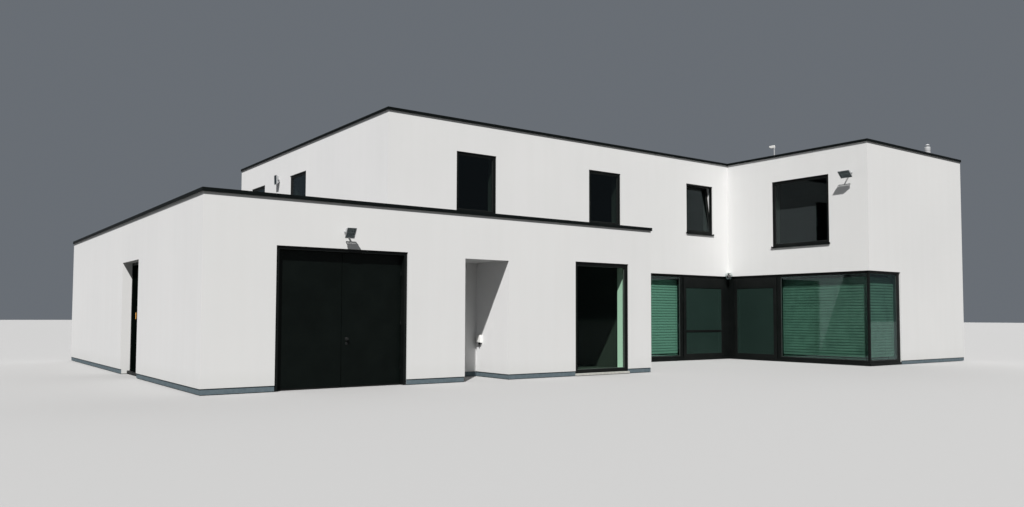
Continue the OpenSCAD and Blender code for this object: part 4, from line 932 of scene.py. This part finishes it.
def globe_lamp(low, high):
    """A globe, open at its top, round a smoked cup, on an arm from the inner corner."""
    r, at = (high.z - low.z) / 2, along((low + high) / 2)
    arc = [radians(d) for d in range(-90, 67, 6)]
    shell = Shape(at)
    shell.turned([(k * cos(a), k * sin(a)) for k, row in ((r, arc), (r - GLOBE_T, arc[::-1])) for a in row], 48)
    shell.done("corner_globe_glass", "globe", "lamp_body", instead=("wall_lamps",))
    lamp = Shape(at)
    lamp.turned(GLOBE_NECK, 40)
    lamp.paint = 1
    lamp.turned(GLOBE_BULB, 40)
    lamp.paint = 0
    lamp.frame = at @ Matrix.Rotation(radians(45), 4, "Z")
    reach = r * sqrt(2)
    lamp.bar((0.03, -0.014, 0.094), (reach - 0.004, 0.014, 0.112), 0.003)
    lamp.loft([[(reach - 0.034, -0.034, z), (reach, 0, z), (reach - 0.034, 0.034, z)] for z in (0.06, 0.1145)])
    lamp.done("corner_globe_holder", "cover bulb", "lamp_body", instead=("wall_lamps",))


def lamp_pieces():
    walls = {"garage": (1, Y_LOW), "left": (0, X_MAIN), "wing": (0, X_WING)}
    for points in islands("wall_lamps"):
        mid = centre(points)
        if mid.z < Z_LOW and mid.x > 0:
            globe_lamp(*box_of(points))
            continue
        key = "garage" if mid.z < Z_LOW else "wing" if mid.x > 0 else "left"
        axis, wall = walls[key]
        foot = centre([p for p in points if abs(p[axis] - wall) < 0.001])
        floodlight(f"{key}_lamp", along(foot, 0 if key == "garage" else -90), *LAMPS[key])


# Doors: hinge caps, edge strips, brush seals, knob, lock and pull; the front door's handle
HINGE_Z, HINGE_DOWN, KNUCKLE, HINGE_R = (0.3, 1.15), 0.395, 0.07, 0.009
HINGE_DOME = [(0, -0.01), (0.004, -0.0095), (0.0085, -0.004), (HINGE_R, 0.0005)]
HINGE_RING = [(HINGE_R + 0.0006, 0.01), (HINGE_R + 0.0006, 0.013)]
GARAGE_JAMB, PIVOT_OFF, AXIS_OFF, GARAGE_LEAF, SIDE_LEAF = 0.06, 0.016, 0.014, 0.05, 0.06
GARAGE_TRIM = [(0, 0.0002), (0.0006, -0.0006), (0.0034, -0.0006), (0.004, 0.0002)]
SIDE_TRIM = [(0, 0.0002), (0.0006, -0.0008), (0.0034, -0.0008), (0.004, 0.0002)]
# The knob's distance from the right, its height and the lock's distance below it
KNOB_IN, KNOB_Z, LOCK_DOWN = 1.199, 0.888, 0.085
KNOB_ROSE = [(0.033, -0.0004), (0.034, 0.001), (0.033, 0.004), (0.029, 0.0062)]
KNOB = [(0.0135, 0.004), (0.0135, 0.018), (0.0175, 0.0235), (0.0256, 0.025), (0.0262, 0.03), (0.0262, 0.0455),
        (0.024, 0.049), (0.018, 0.0508), (0, 0.0512)]
LOCK_ROSE = [(0.026, -0.0004), (0.027, 0.001), (0.026, 0.0045), (0.022, 0.006)]
# The side door's pull: distance from the left, how far it stands out, heights of plates, grip and lock
SIDE_PULL_IN, PULL_OUT, PLATES_Z, PULL_MID, SIDE_LOCK_Z = 0.714, 0.045, (1.18, 1.42), 1.3, 1.08
GRIP = [(0.0108, -0.072), (0.0116, -0.068), (0.0116, -0.004), (0.011, 0.0), (0.0116, 0.004), (0.0116, 0.068),
        (0.0108, 0.072)]
# The front door's frame, side light, depth of its face in the frame, mouldings; its long handle
POST, SIDE_LIGHT, SET_IN = 0.06, 0.48, 0.012
DOOR_RIM = [(0, -0.0016), (0.003, -0.0016), (0.003, 0.0003), (0, 0.0003)]
LIGHT_SEAL = [(-0.0004, 0.0135), (0.009, 0.0135), (0.009, 0.0145), (0.006, 0.021), (-0.0004, 0.022)]
HANDLE = [(0.0125, 0.55), (0.0145, 0.552), (0.0145, 1.648), (0.0125, 1.65)]
HANDLE_X, HANDLE_OUT, CYLINDER_Z = 0.075, 0.052, 1.02


def hinge_caps(side, x, y, head):
    """Caps under the lower halves of a leaf's hinges, and on the upper halves."""
    low, high = Shape(), Shape()
    for z in (*HINGE_Z, head - HINGE_DOWN):
        for shape, up, sign in ((low, 0, 1), (high, 2 * KNUCKLE, -1)):
            shape.frame = along((x, y, z + up))
            for profile in (HINGE_DOME, HINGE_RING):
                shape.turned([(r, sign * h) for r, h in profile[::sign]], 24)
    low.done(side + "_hinge_frame_caps", "frame", "frame_metal")
    high.done(side + "_hinge_leaf_caps", "door", "door_paint", side + "_leaf")


def garage_doors():
    g_frame, g_left, g_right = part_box("garage_door_frame"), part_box("garage_left_leaf"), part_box("garage_right_leaf")
    face = g_left[1].y - GARAGE_LEAF
    for side, x, s in (("garage_left", g_frame[0].x, -1), ("garage_right", g_frame[1].x, 1)):
        hinge_caps(side, x - s * (GARAGE_JAMB + PIVOT_OFF), face - AXIS_OFF, g_frame[1].z)
    middle = (g_left[1].x + g_right[0].x) / 2
    for leaf, (low, high), s in (("garage_left_leaf", g_left, -1), ("garage_right_leaf", g_right, 1)):
        trim = Shape()
        x0, x1 = sorted((middle + s * 0.0045, middle + s * 0.03))
        trim.bar((x0, face - 0.0022, low.z + 0.004), (x1, face + 0.0002, high.z - 0.004), 0.0009)
        a, b = sorted((middle + s * 0.03, low.x + 0.012 if s < 0 else high.x - 0.012))
        trim.bar((a, face - 0.004, low.z + 0.004), (b, face + 0.0002, low.z + 0.04), 0.0015)
        for z0, z1 in ((low.z + 0.06, low.z + 1.2), (low.z + 1.212, high.z - 0.03)):
            trim.bead(a + 0.03, b - 0.03, z0, z1, moved(GARAGE_TRIM, face))
        trim.done(leaf + "_trim", "door", "door_paint", leaf)
        brush = Shape()
        brush.bar((a, face - 0.003, 0.0025), (b, face - 0.0008, low.z + 0.0045), 0.0004)
        brush.bar((a, face - 0.0034, low.z + 0.0035), (b, face - 0.0004, low.z + 0.008), 0.0004)
        brush.done(leaf + "_brush", "rubber", "door_paint", leaf)
    knob_x = g_frame[1].x - KNOB_IN
    knob = Shape(along((knob_x, face, KNOB_Z)))
    knob.turned(KNOB_ROSE, 48, "Y")
    knob.turned(KNOB, 48, "Y")
    knob.frame = along((knob_x, face, KNOB_Z - LOCK_DOWN))
    knob.turned(LOCK_ROSE, 40, "Y")
    knob.bar((-0.0045, -0.0085, -0.016), (0.0045, -0.0055, 0.01), 0.0015)
    knob.turned([(0.0085, 0.0055), (0.0085, 0.009), (0.007, 0.0098)], 24, "Y", (0, 0, 0.004))
    knob.done("garage_door_knob", "hardware", "door_paint", "garage_right_leaf")


def side_doors():
    s_frame, s_left, s_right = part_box("side_door_frame"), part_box("side_left_leaf"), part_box("side_right_leaf")
    outer = s_right[0].x
    for side, y, s in (("side_left", s_frame[1].y, 1), ("side_right", s_frame[0].y, -1)):
        hinge_caps(side, outer + SIDE_LEAF + AXIS_OFF, y - s * (GARAGE_JAMB + PIVOT_OFF), s_frame[1].z)
    middle = (s_left[0].y + s_right[1].y) / 2
    for leaf, (low, high), s in (("side_left_leaf", s_left, 1), ("side_right_leaf", s_right, -1)):
        trim = Shape()
        y0, y1 = sorted((middle + s * 0.0045, middle + s * 0.028))
        trim.bar((outer - 0.0022, y0, low.z + 0.004), (outer + 0.0002, y1, high.z - 0.004), 0.0009)
        a, b = sorted((middle + s * 0.028, high.y - 0.012 if s > 0 else low.y + 0.012))
        sill = ((0.0002, 0.006), (-0.02, 0.01), (-0.02, 0.014), (-0.004, 0.034), (0.0002, 0.036))
        trim.loft([[(outer + out, y, low.z + up) for out, up in sill] for y in (a, b)])
        trim.frame = along((outer, b, 0), -90)
        trim.bead(0.03, b - a - 0.03, low.z + 0.07, high.z - 0.04, SIDE_TRIM)
        trim.done(leaf + "_trim", "side_door", "door_paint", leaf)
        brush = Shape()
        for deep in (0.02, 0.036):
            brush.bar((outer + deep, a, low.z - 0.003), (outer + deep + 0.004, b, low.z + 0.001), 0.0006)
        brush.done(leaf + "_brush", "rubber", "door_paint", leaf)
    pull_y = s_frame[1].y - SIDE_PULL_IN
    plates = Shape(along((outer, pull_y, 0), -90))
    for z in PLATES_Z:
        plates.turned([(0.016, -0.0004), (0.016, 0.003), (0.012, 0.005)], 32, "Y", (0, 0, z))
    plates.done("side_door_pull_plates", "hardware", "door_paint", "side_left_leaf")
    grip = Shape(along((outer - PULL_OUT, pull_y, PULL_MID), -90))
    grip.turned(GRIP)
    grip.done("side_door_pull_grip", "brass", "door_paint", "side_left_leaf")
    lock = Shape(along((outer, pull_y, SIDE_LOCK_Z), -90))
    lock.turned([(0.022, -0.0004), (0.022, 0.003), (0.018, 0.006)], 32, "Y")
    lock.bar((-0.0045, -0.0085, -0.014), (0.0045, -0.0055, 0.01), 0.0015)
    lock.done("side_door_lock", "hardware", "door_paint", "side_left_leaf")


def front_entry():
    low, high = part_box("front_door")
    at = along((high.x, high.y, low.z), 180)
    width, rise, mid = high.x - low.x, high.z - low.z, (high.y - low.y) / 2
    light = width - POST - SIDE_LIGHT
    leaf_w = light - POST
    entry = Shape(at)
    entry.bead(POST + 0.004, leaf_w - 0.004, POST + 0.004, rise - POST - 0.004, moved(DOOR_RIM, SET_IN))
    for k in range(1, 5):
        z = POST + (rise - 2 * POST) * k / 5
        entry.bar((POST + 0.1, SET_IN - 0.0015, z - 0.006), (leaf_w - 0.16, SET_IN + 0.0003, z + 0.006), 0.0006)
    entry.bar((POST + 0.006, SET_IN - 0.018, POST + 0.006), (leaf_w - 0.006, SET_IN + 0.0003, POST + 0.034), 0.004)
    entry.done("front_door_mouldings", "door", "door_paint")
    handle = Shape(at)
    x = leaf_w - HANDLE_X
    handle.turned(HANDLE, 32, "Z", (x, SET_IN - HANDLE_OUT, 0))
    for z in (0.7, 1.5):
        handle.turned([(0.018, 0), (0.018, 0.003), (0.009, 0.005), (0.009, 0.045)], 24, "Y", (x, SET_IN + 0.0003, z))
    handle.turned([(0.024, 0), (0.024, 0.004), (0.02, 0.007)], 32, "Y", (x + 0.038, SET_IN + 0.0003, CYLINDER_Z))
    handle.done("front_door_handle", "steel", "door_paint")
    glazing = Shape(at)
    for seal in (mirrored(LIGHT_SEAL, mid), moved(LIGHT_SEAL, mid)):
        glazing.bead(light, width - POST, POST, rise - POST, seal)
    glazing.done("front_door_glass_seals", "rubber", "frame_metal")


# Socket box in the porch: height of its foot, how far the hood stands above the box, depth
BOX_FOOT, BOX_TOP, BOX_D = 0.105, 0.045, 0.064


def porch_box_piece():
    """Weatherproof box on the porch's right wall, with a lid and a dark tapered foot that stands in for the box's
    shadow below it: painted shade.
    """
    low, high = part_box("porch_wall_box")
    box = Shape(along((high.x, high.y, 0), -90))
    w, z0, z1, deep = high.y - low.y, low.z + BOX_FOOT, high.z - BOX_TOP, BOX_D
    for inset, foot, steps in ((0, 0, ((0, 0), (0, 0.5), (0.004, 0.55))),
                               (0.002, 0.004, ((0, 0.53), (0, 0.86), (0.008, 0.98), (0.014, 1)))):
        box.loft([[(x, -deep * out, z) for x, z in ((inset + c, z0 + foot + c), (w - inset - c, z0 + foot + c),
                                                    (w - inset - c, z1 - inset - c), (inset + c, z1 - inset - c))]
                  for c, out in steps])
    box.turned([(0.006, 0.012), (0.006, w - 0.012)], 16, "X", (0, -deep * 0.7, z1 - 0.001))
    for x in (0.016, w - 0.016):
        box.turned([(0.004, deep * 0.9), (0.004, deep + 0.0012)], 12, "Y", (x, 0, z0 + 0.02))
    # The dark foot is painted shade: a black gland where the box's shadow falls
    box.paint = 1
    box.turned([(0.009, z0 - 0.075), (0.012, z0 - 0.045), (0.02, z0 - 0.022), (0.024, z0 + 0.006)], 24, "Z",
               (w / 2, -deep * 0.45, 0))
    box.done("porch_socket_box", "cover frame", "white_cover", instead=("porch_wall_box",))


window_pieces()
terrace_pieces()
blinds_pieces()
screen_pieces()
coping_pieces()
roof_pieces()
fitting_pieces()
lamp_pieces()
garage_doors()
side_doors()
front_entry()
porch_box_piece()
